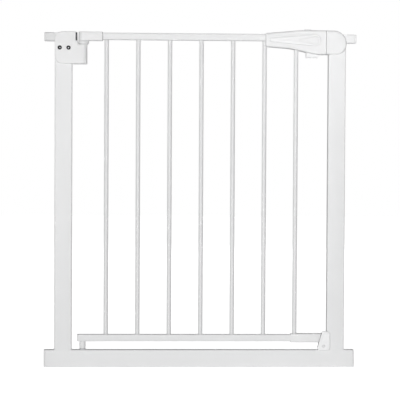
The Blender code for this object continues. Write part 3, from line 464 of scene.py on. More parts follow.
def ring(axis, outline, level, thickness):
    # flat band inside an outline
    bm = roundedFace(bmesh.new(), axis, outline, level, 6)
    inside = bm.faces[:]
    bmesh.ops.inset_region(bm, faces=inside, thickness=thickness, use_even_offset=True, use_boundary=True)
    bmesh.ops.delete(bm, geom=inside, context="FACES")
    return bm


def tubeBlank(axis, node, corner):
    low, high = cad(node)
    along = "XYZ".index(axis)
    u, v = [(low[i] + high[i]) / 2 for i in range(3) if i != along]
    width, height = [high[i] - low[i] for i in range(3) if i != along]
    bm = ring(axis, rectangle(u, v, width, height, corner), low[along], tubing["wall"])
    pushFaces(bm, bm.faces[:], axis, high[along] - low[along])
    bmesh.ops.recalc_face_normals(bm, faces=bm.faces)
    return bm


def addTube(name, bm, node, body, coat="powder"):
    addPiece(name, bm, coat, body, [node], bevel=tubing["edge"])


def buildFrameTubes():
    corner = tubing["corner"]
    bushLow, bushHigh = cad("base_bush")
    hole = (bushHigh.x - bushLow.x) / 2 - tubing["bushLip"]
    drill = rod("Z", middleOf("lower_hinge_pin").x, 0, hole, 0.02, 0.06)
    addTube("baseRailTube", carve(tubeBlank("X", "base_rail", corner), drill), "base_rail", "frame")
    for side, name in ((-1, "left"), (1, "right")):
        low, high = cad(f"{name}_upright")
        outer = high.x if side > 0 else low.x
        drills = [rod("X", 0, middleOf(f"{name}_stub").z, tubing["spindleHole"], outer - 0.01, outer + 0.01)]
        for x, z in spots(*clampScrews[name]):
            drills.append(rod("Y", x, z, tubing["clampHole"], -0.03, 0.03, 24))
        upright = carve(tubeBlank("Z", f"{name}_upright", corner), *drills)
        addTube(f"{name}UprightTube", upright, f"{name}_upright", "frame")
        # the left stub takes the darker coat, painted shade there
        coat = "paintedShadePowder" if side < 0 else "powder"
        addTube(f"{name}StubTube", tubeBlank("X", f"{name}_stub", corner), f"{name}_stub", "frame", coat)
        buildUprightWeld(name, low, high)
        buildStubWeld(name, side, low, high, coat)
    print("frame tubes done")


weld = {"leg": 0.0017, "sink": 0.0004, "flat": 0.22, "proud": 0.0001, "ground": 0.00004, "edge": 0.0003}


def weldRing(axis, low, high, level, direction):
    # fillet bead round a tube where it meets a flat side
    leg, sink = weld["leg"], weld["sink"]
    index = "XYZ".index(axis)
    around = [i for i in range(3) if i != index]
    middle = (low + high) / 2
    (u, width), (v, height) = [(middle[i], high[i] - low[i]) for i in around]
    outline = rectangle(u, v, width + 2 * leg, height + 2 * leg, tubing["corner"] + leg)
    bm = ring(axis, outline, level, leg + sink)
    inner = (width / 2 - sink + 1e-5, height / 2 - sink + 1e-5)
    for vert in pushFaces(bm, bm.faces[:], axis, 0):
        within = abs(vert.co[around[0]] - u) < inner[0] and abs(vert.co[around[1]] - v) < inner[1]
        vert.co[index] += direction * (leg if within else leg * weld["flat"])
    bmesh.ops.recalc_face_normals(bm, faces=bm.faces)
    return bm


def buildUprightWeld(name, low, high):
    baseLow, baseHigh = cad("base_rail")
    proud, ground = weld["proud"], weld["ground"]
    bead = weldRing("Z", low, high, low.z - play["room"], 1)
    for vert in bead.verts:
        vert.co.y = max(baseLow.y + proud, min(baseHigh.y - proud, vert.co.y))
    addPiece(f"{name}UprightWeld", bead, "weld", "frame", sharp=60)
    # front and back of the same joint are ground flush
    flush = box((low.x + 0.0016, low.y + ground, baseHigh.z - 0.0030),
                (high.x - 0.0016, high.y - ground, low.z + 0.0010), weld["edge"])
    addPiece(f"{name}GroundWeld", flush, "powder", "frame")


def buildStubWeld(name, side, low, high, coat):
    stubLow, stubHigh = cad(f"{name}_stub")
    proud, ground = weld["proud"], weld["ground"]
    outer = high.x if side > 0 else low.x
    bead = weldRing("X", stubLow, stubHigh, outer, side)
    for vert in bead.verts:
        vert.co.y = max(low.y + proud, min(high.y - proud, vert.co.y))
        vert.co.z = min(high.z, vert.co.z)
    addPiece(f"{name}StubWeld", bead, "weld", "frame", sharp=60)
    start, end = sorted((outer - side * 0.0034, outer + side * 0.0016))
    flush = box((start, stubLow.y + ground, stubLow.z + 0.0014),
                (end, stubHigh.y - ground, stubHigh.z - ground), weld["edge"])
    addPiece(f"{name}StubGroundWeld", flush, coat, "frame")


def buildDoorRails():
    corner = tubing["railCorner"]
    screw = middleOf("cap_screw")
    drill = rod("Y", screw.x, screw.z, tubing["capHole"], 0.002, 0.02, 20)
    addTube("topRailTube", carve(tubeBlank("X", "top_rail", corner), drill), "top_rail", "door")
    low, high = cad("pivot_bush")
    under = cad("bottom_rail")[0].z
    hole = (high.x - low.x) / 2 - play["room"]
    drill = rod("Z", middleOf("pivot_bush").x, 0, hole, under - 0.01, under + 0.006)
    addTube("bottomRailTube", carve(tubeBlank("X", "bottom_rail", corner), drill), "bottom_rail", "door")


bar = {"count": 7, "radius": 0.005, "wall": 0.001, "flare": 0.0010, "flareRise": 0.0016, "end": 0.0001}


def buildBars():
    # each bar spreads into a small bead of weld at the rails
    low, high = cad("bottom_rail")[1].z + bar["end"], cad("top_rail")[0].z - bar["end"]
    radius, inner, flare, rise = bar["radius"], bar["radius"] - bar["wall"], bar["flare"], bar["flareRise"]
    bead = [(radius + flare, 0), (radius + flare * 0.85, rise * 0.18), (radius + flare * 0.35, rise * 0.45),
            (radius, rise)]
    profile = [(inner, low), *[(r, low + h) for r, h in bead], *[(r, high - h) for r, h in reversed(bead)],
               (inner, high)]
    for number in range(1, bar["count"] + 1):
        node = f"bar_{number}"
        middle = middleOf(node)
        upBar = turned("Z", (middle.x, middle.y, 0), profile, 40)
        addPiece(f"upBar{number}", upBar, "powder", "door", [node], sharp=50)
    print("door bars done")


# end plugs and their nuts

plug = {"flange": 0.0035, "boss": 0.010, "bossStep": 0.003, "hole": 0.0053, "countersink": 0.0012,
        "rim": 0.0020, "groove": 0.0010}


def buildEndPlugs():
    for level in ("top", "bottom"):
        for side, name in ((-1, "left"), (1, "right")):
            buildEndPlug(level, name, side)
            buildThreadedNut(level, name)
    print("end plugs done")


def buildEndPlug(level, name, side):
    node = f"{level}_{name}_plug"
    low, high = cad(node)
    z, height, depth, hole = middleOf(node).z, high.z - low.z, high.y - low.y, plug["hole"]
    face = high.x if side > 0 else low.x
    back = face - side * plug["flange"]
    flange = block("X", rectangle(0, z, depth, height, tubing["corner"]), back, face, 6)
    softenRim(flange, 0, face, plug["rim"], 4)
    softenRim(flange, 0, back, plug["groove"], 3)
    boss = block("X", rectangle(0, z, depth - plug["bossStep"], height - plug["bossStep"], 0.001),
                 back + side * 0.001, back - side * plug["boss"], 4)
    lip = 0.0006 * side
    wide = hole + plug["countersink"]
    cone = turned("X", (face, 0, z), [(0, -lip), (hole, -lip), (wide, lip), (0, lip)], 40)
    body = carve(carve(flange, boss, operation="UNION"),
                 rod("X", 0, z, hole, face - side * 0.03, face + side * 0.01, 40), cone)
    addPiece(f"{level}{name.title()}EndPlug", body, "housing", "frame", [node], bevel=0.00015)


nut = {"corner": 0.0015, "pitch": 0.0015, "root": 0.0051, "crest": 0.0045, "runOut": 0.002}


def buildThreadedNut(level, name):
    # square nut with a cut thread
    node = f"{level}_{name}_nut"
    low, high = cad(node)
    middle, pitch, crest, root = middleOf(node), nut["pitch"], nut["crest"], nut["root"]
    section = rectangle(middle.y, middle.z, high.y - low.y, high.z - low.z, nut["corner"])
    blank = block("X", section, low.x, high.x, 4)
    count = round((high.x - low.x + 2 * nut["runOut"]) / pitch)
    profile = [(0, 0)]
    for turn in range(count):
        profile += [(crest, turn * pitch), (root, (turn + 0.5) * pitch)]
    profile += [(crest, count * pitch), (0, count * pitch)]
    thread = turned("X", (low.x - nut["runOut"], middle.y, middle.z), profile, 32)
    addPiece(f"{level}{name.title()}SpindleNut", carve(blank, thread), "zinc", "frame", [node], sharp=30)


# screws, as head radius, head height and shank radius

screws = {"hingeClamp": (0.0047, 0.0024, 0.0024), "latchClamp": (0.0052, 0.0024, 0.0024),
          "handle": (0.0031, 0.0019, 0.0014), "cap": (0.003, 0.0018, 0.0014),
          "stop": (0.003, 0.0018, 0.0018)}
# the head's dome, as shares of its radius and height
dome = [(1, 0.42), (0.93, 0.66), (0.78, 0.85), (0.55, 0.96), (0.3, 1), (0, 1)]


def screwPiece(name, node, kind, toward, finish, body, recess="cross", slot=None):
    # along Y, its top and its shank's end taken from the CAD node
    low, high = cad(node)
    r, h, shank = screws[kind]
    middle = middleOf(node)
    top, tip = (high.y, low.y) if toward > 0 else (low.y, high.y)
    seat = abs(top - tip) - h
    profile = [(0, 0), (shank * 0.7, 0), (shank, shank * 0.5), (shank, seat - 0.0002),
               (shank + 0.0002, seat), (r - 0.0002, seat), (r, seat + 0.0002),
               *[(r * wide, seat + h * up) for wide, up in dome]]
    profile = [(radius, height * toward) for radius, height in profile]
    blank = turned("Y", (middle.x, tip, middle.z), profile, 40)
    u, v, bottom, over = middle.x, middle.z, top - toward * h * 0.62, top + toward * 0.001
    if recess == "hex":
        parts = [rod("Y", u, v, r * 0.42, bottom, over, 6)]
    else:
        arm, thick = r * 0.56, r * 0.16
        parts = [block("Y", rectangle(u, v, arm * 2, thick * 2, thick * 0.6), bottom, over, 3),
                 block("Y", rectangle(u, v, thick * 2, arm * 2, thick * 0.6), bottom, over, 3)]
    addPiece(name, carve(blank, *parts), finish, body, [node], slot, sharp=32)


def buildScrews():
    centrePin = [(0, 0.0004), (0.0016, 0.0004), (0.0016, -0.0003), (0.0011, -0.0007), (0, -0.0008)]
    for place in ("outer", "inner"):
        node = f"hinge_screw_{place}"
        screwPiece(f"{place}HingeScrew", node, "hingeClamp", -1, "black", "frame", "hex")
        middle = middleOf(node)
        pin = turned("Y", (middle.x, cad(node)[0].y + 0.0016, middle.z), centrePin, 24)
        addPiece(f"{place}HingeScrewCentre", pin, "zinc", "frame", sharp=40)
        screwPiece(f"{place}LatchScrew", f"latch_screw_{place}", "latchClamp", 1, "zinc", "frame")
        node = f"hinge_nut_{place}"
        low, high = cad(node)
        middle = middleOf(node)
        blank = rod("Y", middle.x, middle.z, (high.z - low.z) / 2, low.y, high.y, 6)
        hole = rod("Y", middle.x, middle.z, 0.0027, low.y - 0.01, high.y + 0.01, 24)
        addPiece(f"{place}HingeNut", carve(blank, hole), "zinc", "frame", [node], bevel=0.0003)
    for place in ("left", "lower", "upper"):
        screwPiece(f"{place}HandleScrew", f"handle_screw_{place}", "handle", 1, "zinc", "door")
    screwPiece("hingeCapScrew", "cap_screw", "cap", 1, "zinc", "door")
    screwPiece("stopPlateScrew", "stop_screw", "stop", -1, "housing", "frame", "hex", "zinc_steel")
    print("screws done")


# hinge

hinge = {"halfDepth": 0.014, "corner": 0.018, "edge": 0.0018, "reach": 0.009, "rim": 0.0016,
         "frontSlit": 0.0063, "rearSlit": 0.0025, "columnRound": 0.0105, "headRoom": 0.0050,
         "nutRoom": 0.0048, "screwWall": 0.0012, "springRoom": 0.0072, "springFloor": 0.0035,
         "springRoof": 0.006, "pinRoom": 0.0044}


def buildHingeHousing():
    pinLow, pinHigh = cad("upper_hinge_pin")
    axisX = (pinLow.x + pinHigh.x) / 2
    low, high = cad("hinge_housing_front")
    capLow, capHigh = cad("hinge_cap")
    capHalf = (capHigh.y - capLow.y) / 2
    collarLow, collarHigh = cad("hinge_collar")
    uprightLow, uprightHigh = cad("left_upright")
    half, corner, edge, bend = hinge["halfDepth"], hinge["corner"], hinge["edge"], hinge["columnRound"]
    room, headRoom, pinRoom = play["room"], hinge["headRoom"], hinge["pinRoom"]
    right, shoulder, ledgeTop = axisX + hinge["reach"], collarLow.z - room, collarHigh.z
    ledge = axisX - (collarHigh.x - collarLow.x) / 2 - play["run"]
    floor, roof = low.z + hinge["springFloor"], shoulder - hinge["springRoof"]
    cavity = [(0, floor), (hinge["springRoom"], floor), (hinge["springRoom"], roof), (pinRoom, roof),
              (pinRoom, shoulder + 0.01), (0, shoulder + 0.01)]
    rimCut = [(0, 0.0004), (headRoom, 0.0004), (headRoom + 0.0008, -0.0004), (0, -0.0004)]
    seat = uprightHigh.y + room + hinge["screwWall"]
    for side, name in ((-1, "front"), (1, "rear")):
        reach = capHalf + (hinge["frontSlit"] if side < 0 else hinge["rearSlit"])
        step = [(ledge, shoulder, 0), (ledge, ledgeTop, 0.0018), (axisX - reach, ledgeTop, 0.0006)]
        outline = [(low.x, low.z, corner), (right, low.z, edge), (right, shoulder, edge),
                   *(step if side < 0 else [(axisX - reach, shoulder, edge)]),
                   (axisX - reach, high.z, 0.0022), (low.x, high.z, corner)]
        body = block("Y", outline, side * play["seam"], side * half, 12)
        softenRim(body, 1, side * half, hinge["rim"], 4)
        plan = block("Z", [(low.x - 0.01, -half, 0), (right, -half, bend), (right, half, bend),
                           (low.x - 0.01, half, 0)], 0.6, 0.85, 12)
        body = carve(body, plan, operation="INTERSECT")
        cutters = [box((low.x - 0.02, uprightLow.y - room, 0.6),
                       (uprightHigh.x + room, uprightHigh.y + room, uprightHigh.z + room)),
                   turned("Z", (axisX, 0, 0), cavity, 40)]
        for x, z in spots(*clampScrews["left"]):
            cutters.append(rod("Y", x, z, tubing["clampHole"], 0, side * 0.05, 24))
            if side < 0:
                cutters.append(rod("Y", x, z, headRoom, side * seat, side * 0.05, 40))
                cutters.append(turned("Y", (x, side * half, z), rimCut, 40))
            else:
                cutters.append(rod("Y", x, z, hinge["nutRoom"], side * seat, side * 0.05, 6))
        addPiece(f"hingeHousing{name.title()}", carve(body, *cutters), "housing", "frame",
                 [f"hinge_housing_{name}"], bevel=0.00025)
    # near-black strip behind the slit beside the cap: painted shade in the slit
    stripRight, left = axisX - capHalf - hinge["rearSlit"], axisX - capHalf - hinge["frontSlit"]
    strip = box((left + 0.0002, -0.0011, shoulder + 0.0006), (stripRight - 0.0004, -0.0001, high.z - 0.0016),
                0.0003)
    addPiece("hingeSlitShadeStrip", strip, "softGrey", "frame", bevel=0.0002)
    print("hinge housing done")


def buildHingeCore():
    low, high = cad("hinge_collar")
    r, rise = (high.x - low.x) / 2, high.z - low.z
    profile = [(0.0044, 0), (0.0098, 0), (0.0101, 0.0005), (0.0106, 0.0013), (r - 0.0006, 0.0034),
               (r, 0.0041), (r, rise - 0.0012), (r - 0.0004, rise - 0.0004), (r - 0.0011, rise),
               (0.0050, rise), (0.0044, rise - 0.0005)]
    collar = turned("Z", (middleOf("hinge_collar").x, 0, low.z), profile, 64)
    addPiece("hingeCollar", collar, "housing", "frame", ["hinge_collar"], sharp=38)
    low, high = cad("upper_hinge_pin")
    x, r, length = middleOf("upper_hinge_pin").x, 0.004, high.z - low.z
    profile = [(0, 0), (r - 0.001, 0), (r, 0.001), (r, 0.0140), (r - 0.0003, 0.0142), (r - 0.0003, 0.0150),
               (r, 0.0152), (r, length - 0.0008), (r - 0.0008, length), (0, length)]
    addPiece("upperHingePin", turned("Z", (x, 0, low.z), profile), "zinc", "hinge_pins", ["upper_hinge_pin"],
             sharp=32)
    low, high = cad("lower_hinge_pin")
    r, length = (high.x - low.x) / 2, high.z - low.z
    profile = [(0, 0), (r - 0.0016, 0), (r - 0.0004, 0.0008), (r, 0.0020), (r, length - 0.0006),
               (r - 0.0006, length), (0, length)]
    addPiece("lowerHingePin", turned("Z", (x, 0, low.z), profile), "zinc", "hinge_pins", ["lower_hinge_pin"],
             sharp=32)
    buildBushes(x, r + play["run"])
    low, high = cad("closing_spring")
    addPiece("closingSpring", coil((x, 0, low.z), "Z", 0.0058, 0.0006, high.z - low.z, 9), "spring", "frame",
             ["closing_spring"], sharp=60)
    print("hinge core done")


def buildBushes(x, bore):
    low, high = cad("base_bush")
    lip, outer = high.z - 0.0014, (high.x - low.x) / 2
    profile = [(bore, low.z), (outer - 0.0008, low.z), (outer - 0.0008, lip), (outer, lip),
               (outer, high.z - 0.0005), (outer - 0.0002, high.z - 0.0001), (outer - 0.0006, high.z),
               (bore + 0.0004, high.z), (bore, high.z - 0.0004)]
    addPiece("basePinBush", turned("Z", (x, 0, 0), profile), "nylon", "frame", ["base_bush"])
    low, high = cad("pivot_bush")
    outer, under = (high.x - low.x) / 2, cad("bottom_rail")[0].z
    boss = outer - 0.0006
    profile = [(bore, low.z + 0.0003), (bore + 0.0003, low.z), (outer - 0.0011, low.z),
               (outer - 0.0006, low.z + 0.0003), (outer - 0.0003, low.z + 0.0010),
               (outer - 0.0003, low.z + 0.0045), (outer, low.z + 0.0049), (outer, under - 0.0016),
               (outer - 0.0002, under - 0.0010), (outer - 0.0002, under - 0.0003), (boss, under - 0.0003),
               (boss, high.z), (bore, high.z)]
    addPiece("doorPivotBush", turned("Z", (x, 0, 0), profile), "housing", "door", ["pivot_bush"])


hingeCap = {"lip": 0.0018, "lipThickness": 0.0008, "rim": 0.0018, "railCorner": 0.0022, "screwHead": 0.0034}


def buildHingeCap():
    low, high = cad("hinge_cap")
    pinLow, pinHigh = cad("upper_hinge_pin")
    axisX, half = (pinLow.x + pinHigh.x) / 2, (high.y - low.y) / 2
    railLow, railHigh = cad("top_rail")
    railZ, size = (railLow.z + railHigh.z) / 2, railHigh.z - railLow.z
    lip, thickness, corner = hingeCap["lip"], hingeCap["lipThickness"], hingeCap["railCorner"]
    body = block("Z", [(axisX - half, -half, half * 0.995), (high.x, -half, 0.0004), (high.x, half, 0.0004),
                       (axisX - half, half, half * 0.995)], low.z, high.z, 16)
    softenRim(body, 2, high.z, hingeCap["rim"], 4)
    softenRim(body, 2, low.z, 0.0006, 2)
    socket = size + 2 * play["room"]
    screw = middleOf("cap_screw")
    body = carve(body, block("X", rectangle(0, railZ, socket, socket, corner), axisX + 0.0095,
                             high.x + 0.01, 6),
                 rod("Z", axisX, 0, hinge["pinRoom"], low.z - 0.01, railHigh.z - 0.0015, 40),
                 rod("Y", screw.x, screw.z, tubing["capHole"], 0.001, 0.05, 24),
                 rod("Y", screw.x, screw.z, hingeCap["screwHead"], half - 0.0014, 0.05, 32))
    addPiece("hingeCap", body, "housing", "door", ["hinge_cap"], bevel=0.00022)
    # thin near-black ring round the cap's open end against the rail: painted shade for the seam line there
    shadeRing = block("X", rectangle(0, railZ, size + 2 * lip, size + 2 * lip, 0.003), high.x + 0.0001,
                 high.x + thickness, 6)
    shadeRing = carve(shadeRing, block("X", rectangle(0, railZ, size + 0.0002, size + 0.0002, corner), high.x - 0.01,
                             high.x + 0.01, 6))
    addPiece("hingeCapShadeRing", shadeRing, "softGrey", "door")


# bottom of the door

sleeve = {"corner": 0.0030, "rim": 0.0020, "endWall": 0.004, "slot": 0.0056}


def buildBottomFittings():
    low, high = cad("bottom_sleeve")
    railLow, railHigh = cad("bottom_rail")
    railZ, size = (railLow.z + railHigh.z) / 2, high.z - low.z
    socket, slot = railHigh.z - railLow.z + 2 * play["room"], sleeve["slot"]
    barLow, barHigh = cad("bar_7")
    barX = (barLow.x + barHigh.x) / 2
    body = block("X", rectangle(0, railZ, size, size, sleeve["corner"]), low.x, high.x, 8)
    softenRim(body, 0, high.x, sleeve["rim"], 4)
    softenRim(body, 0, low.x, 0.0006, 2)
    body = carve(body, block("X", rectangle(0, railZ, socket, socket, 0.0021), low.x - 0.01,
                             high.x - sleeve["endWall"], 6),
                 box((low.x - 0.01, -slot, railZ), (barX + slot - 0.003, slot, railZ + 0.05)),
                 rod("Z", barX, 0, slot, railZ, railZ + 0.05, 40))
    addPiece("bottomSleeve", body, "housing", "door", ["bottom_sleeve"], bevel=0.00022)

    low, high = cad("bottom_rail_plug")
    flange = block("X", rectangle(0, railZ, high.y - low.y, high.z - low.z, tubing["corner"]), low.x + 0.002,
                   low.x, 6)
    softenRim(flange, 0, low.x, 0.0009, 3)
    core = block("X", rectangle(0, railZ, 0.013, 0.013, 0.0005), low.x + 0.001, high.x, 3)
    addPiece("bottomRailPlug", carve(flange, core, operation="UNION"), "housing", "door",
             ["bottom_rail_plug"], bevel=0.00015)
    print("bottom fittings done")


stopPlate = {"rim": 0.0014, "dish": 0.0009, "shadeWidth": 0.0005, "heel": 0.003, "neck": 0.0032, "floor": 0.0095}


def buildDoorStop():
    low, high = cad("door_stop")
    screwLow, screwHigh = cad("stop_screw")
    pivot = (screwLow + screwHigh) / 2
    x, z = pivot.x, pivot.z
    top, foot = high.z - z, low.z - z
    back, face = high.y, low.y
    heel, neck = (low.x, z + foot + stopPlate["heel"]), (x - stopPlate["neck"], z + top)
    floor = z + stopPlate["floor"]
    outline = [(*heel, 0.0016), (x - 0.0095, z + foot, 0.003), (high.x, z + foot, 0.007),
               (high.x, z + top - 0.002, 0.007), (*neck, 0.003)]
    plate = block("Y", outline, back, face, 10)
    softenRim(plate, 1, face, stopPlate["rim"], 4)
    hollow = [(x - 0.0065, floor, 0.0012), (high.x - 0.0042, floor, 0.003),
              (high.x - 0.0042, z + top - 0.0060, 0.004), (x + 0.0012, z + top - 0.0045, 0.002)]
    dish = block("Y", hollow, face + stopPlate["dish"], face - 0.003, 8)
    plate = carve(plate, dish, rod("Y", x, z, 0.0022, face - 0.01, back + 0.01, 24),
                  rod("Y", x, z, 0.0034, face - 0.01, face + 0.0024, 36))
    addPiece("doorStopPlate", plate, "stop", "stop_plate", ["door_stop"], bevel=0.0002)
    # near-black strip along the plate's slanted edge: painted shade for the shadow line there
    slope = Vector((neck[0] - heel[0], neck[1] - heel[1])).normalized()
    side = Vector((-slope.y, slope.x)) * stopPlate["shadeWidth"]
    start, end = Vector(heel) + slope * 0.004, Vector(neck) - slope * 0.004
    strip = block("Y", [(*start, 0), (*end, 0), (*(end + side), 0.0002), (*(start + side), 0.0002)],
                  back - 0.0006, back - 0.0034, 3)
    addPiece("stopShadeStrip", strip, "softGrey", "stop_plate")
    low, high = cad("stop_block")
    pocket = box((low.x + 0.003, high.y - 0.004, low.z + 0.003),
                 (high.x - 0.003, high.y + 0.01, high.z - 0.003), 0.001)
    body = carve(box(low, high, 0.0012), rod("Y", x, z, 0.0021, low.y - 0.01, high.y - 0.003, 24), pocket)
    addPiece("doorStopBlock", body, "housing", "frame", ["stop_block"], bevel=0.0004, segments=3)
    print("door stop done")


# handle and latch housing

handle = {
    "halfDepth": 0.016,
    "taper": 0.84,          # depth at the left end, as a share of the right end
    "wall": 0.0025,
    "rim": 0.0046,
    "panelDepth": 0.0024,
    "panelSink": 0.0006,    # handle's face to the panel's
    "dropSink": 0.0008,     # panel's face to the drop's
    "shadowGap": 0.0008,    # groove over the drop
    "roll": 0.0012,         # rounding round the panel and the drop
}
# "below" is how far its middle lies under the rail's
panel = {"left": 0.011, "right": 0.0115, "half": 0.0138, "tipHalf": 0.0045, "below": 0.006}
drop = {"right": 0.0165, "length": 0.049, "half": 0.0088}
bolt = {"height": 0.009, "nose": 0.0018}
trigger = {"travel": 0.0055, "cam": 0.0026, "ear": 0.0104, "half": 0.006, "groove": 0.0064, "grooves": 3}


def handleFrame():
    low, high = cad("handle_front")
    railLow, railHigh = cad("top_rail")
    latchLow, latchHigh = cad("latch_housing_front")
    return {"left": low.x, "right": high.x, "length": high.x - low.x, "railZ": (railLow.z + railHigh.z) / 2,
            "floor": low.z, "latchLeft": latchLow.x, "outer": latchHigh.x}


def slimming(x, grip):
    along = min(1.0, max(0.0, (x - grip["left"]) / grip["length"]))
    return handle["taper"] + (1 - handle["taper"]) * along


def taper(bm, grip):
    for vert in bm.verts:
        vert.co.y *= slimming(vert.co.x, grip)
    return bm


def handleOutline(grip, i=0.0):
    # i insets it
    left, right, railZ, floor = grip["left"] + i, grip["outer"] - i, grip["railZ"], grip["floor"]

    def at(share, rise, radius):
        return grip["left"] + share * grip["length"], railZ + rise, radius
    r = max(0.0008, 0.005 - i)
    return [(left, railZ - 0.0211 + i, r), at(0.41, -0.0253 + i, 0.07), at(0.83, -0.0387 + i, 0.06),
            (right, floor + i, 0.024 - i), (right, railZ + 0.0162 - i, 0.0295 - i),
            at(0.63, 0.0175 - i, 0.15), (left, railZ + 0.0098 - i, r)]


def handleHalf(grip, side, cutX, keep):
    face = side * handle["halfDepth"]
    bm = block("Y", handleOutline(grip), side * play["seam"], face, 14)
    softenRim(bm, 1, face, handle["rim"], 6)
    keepSide(bm, cutX, keep)
    for x in (0.25, 0.5, 0.75):
        bmesh.ops.bisect_plane(bm, geom=bm.verts[:] + bm.edges[:] + bm.faces[:],
                               plane_co=(grip["left"] + x * grip["length"], 0, 0), plane_no=(1, 0, 0))
    return taper(bm, grip)


def panelOutline(grip, i=0.0):
    left, right = grip["left"] + panel["left"] + i, grip["right"] - panel["right"]
    middle, half, tip = grip["railZ"] - panel["below"], panel["half"], panel["tipHalf"]
    return [(left, middle - tip + i, 0.0022), (right - half * 1.1, middle - half + i, 0.03),
            (right - i, middle - half + i, half * 0.97 - i), (right - i, middle + half - i, half * 0.97 - i),
            (right - half * 1.1, middle + half - i, 0.03), (left, middle + tip - i, 0.0022)]


def dropOutline(grip, i=0.0, shadow=0.0):
    # the shadow is a wider gap along the upper side
    right, half = grip["right"] - drop["right"], drop["half"]
    middle = grip["railZ"] - panel["below"]
    return [(right - drop["length"] + 3 * i, middle - shadow * 0.6, 0.0012),
            (right - half, middle - half + i, 0.014), (right - i, middle - half * 0.85 + i, 0.007),
            (right - i, middle + half * 0.85 - i, 0.007), (right - half, middle + half - i - shadow, 0.014)]


def buildHandle():
    grip = handleFrame()
    railLow, railHigh = cad("top_rail")
    triggerLow, triggerHigh = cad("squeeze_trigger")
    thumbLow, thumbHigh = cad("thumb_slide")
    boltLow, boltHigh = cad("latch_bolt")
    thumbX = (thumbLow.x + thumbHigh.x) / 2
    boltTop, boltUnder = boltHigh.z, boltHigh.z - bolt["height"]
    left, right, railZ = grip["left"], grip["right"], grip["railZ"]
    room, run, seam = play["room"], play["run"], play["seam"]
    halfDepth, wall, panelDepth = handle["halfDepth"], handle["wall"], handle["panelDepth"]
    for side, name in ((-1, "front"), (1, "rear")):
        face = side * halfDepth
        shell = handleHalf(grip, side, right, -1)
        depth = halfDepth - wall - panelDepth
        inside = block("Y", handleOutline(grip, wall), -side * 0.001, side * depth, 10)
        keepSide(inside, right - wall, -1)
        shell = carve(shell, taper(inside, grip))
        posts = []
        for x, z in spots(*handleScrews):
            reach = halfDepth * slimming(x, grip) - panelDepth - wall / 2
            posts.append(rod("Y", x, z, 0.0034 if side < 0 else 0.005, side * seam, side * reach, 32))
        shell = carve(shell, *posts, operation="UNION")
        cutters = []
        if side < 0:
            recess = block("Y", panelOutline(grip), face - 0.003, face + panelDepth, 12)
            cutters.append(taper(recess, grip))
        cutters.append(box((left - 0.01, railLow.y - room, railLow.z - room),
                           (railHigh.x + 0.002, railHigh.y + room, railHigh.z + room), 0.0015))
        for number in (6, 7):
            barLow, barHigh = cad(f"bar_{number}")
            cutters.append(rod("Z", (barLow.x + barHigh.x) / 2, 0, 0.0054, 0.68, railZ, 32))
        cutters.append(box((triggerLow.x - run, -0.0064, railZ - 0.06),
                           (triggerHigh.x + run, 0.0064, railZ - 0.03), 0.0005))
        cutters.append(box((thumbX - 0.0099, -0.0034, railZ + 0.0125), (thumbX + 0.0039, 0.0034, 0.8),
                           0.0012))
        cutters.append(box((right - 0.01, boltLow.y - run, boltUnder - run),
                           (right + 0.01, boltHigh.y + run, boltTop + run)))
        for x, z in spots(*handleScrews):
            if side < 0:
                cutters.append(rod("Y", x, z, 0.0017, -0.0095, 0.001, 20))
            else:
                cutters.append(rod("Y", x, z, 0.0019, -0.001, 0.05, 20))
                cutters.append(rod("Y", x, z, 0.0036, 0.0095, 0.05, 36))
        addPiece(f"handle{name.title()}Shell", carve(shell, *cutters), "handle", "door",
                 [f"handle_{name}"], bevel=0.00022)
    print("handle shells done")
    buildPanel(grip)
    buildTrigger(grip, triggerLow, triggerHigh)
    buildThumbSlide(thumbLow, thumbHigh, thumbX)
    return grip


def dropRim(edge, grip, front):
    # edges where the drop's opening meets the panel's face
    right, middle = grip["right"] - 0.0155, grip["railZ"] - panel["below"]
    for vert in edge.verts:
        level = front * slimming(vert.co.x, grip)
        within = right - 0.052 < vert.co.x < right and abs(vert.co.z - middle) <= 0.0092
        if abs(vert.co.y - level) > 2e-5 or not within:
            return False
    return len(edge.link_faces) == 2 and edge.calc_face_angle(0) > math.radians(60)


def buildPanel(grip):
    # sunk teardrop with a rolled edge and a pointed drop standing in it
    room, roll = play["room"], handle["roll"]
    face = -handle["halfDepth"]
    back = face + handle["panelDepth"] - room
    front = face + handle["panelSink"]
    plate = block("Y", panelOutline(grip, room), back, front, 14)
    softenRim(plate, 1, front, roll, 4)
    opening = block("Y", dropOutline(grip), front - 0.003, back + 0.003, 12)
    plate = carve(taper(plate, grip), taper(opening, grip))
    rolled = [edge for edge in plate.edges if dropRim(edge, grip, front)]
    bmesh.ops.bevel(plate, geom=rolled, offset=roll, segments=4, affect="EDGES", profile=0.5, material=-1)
    addPiece("handlePanel", plate, "panel", "door", ["handle_panel"], bevel=0.00012)
    insert = block("Y", dropOutline(grip, room, handle["shadowGap"]), back, front + handle["dropSink"], 12)
    insert = taper(insert, grip)
    right, middle = grip["right"] - drop["right"], grip["railZ"] - panel["below"]
    seat = front + handle["dropSink"] + 0.0005
    pockets = [block("Y", [(right - 0.040, middle, 0.0006), (right - 0.020, middle - 0.0046, 0.002),
                           (right - 0.0205, middle + 0.0046, 0.002)], face - 0.003, seat, 6),
               block("Y", rectangle(right - 0.0095, middle, 0.0105, 0.0098, 0.0034), face - 0.003, seat, 8)]
    insert = carve(insert, *[taper(pocket, grip) for pocket in pockets])
    addPiece("panelDrop", insert, "handle", "door", ["panel_insert"], bevel=0.00035, segments=3)


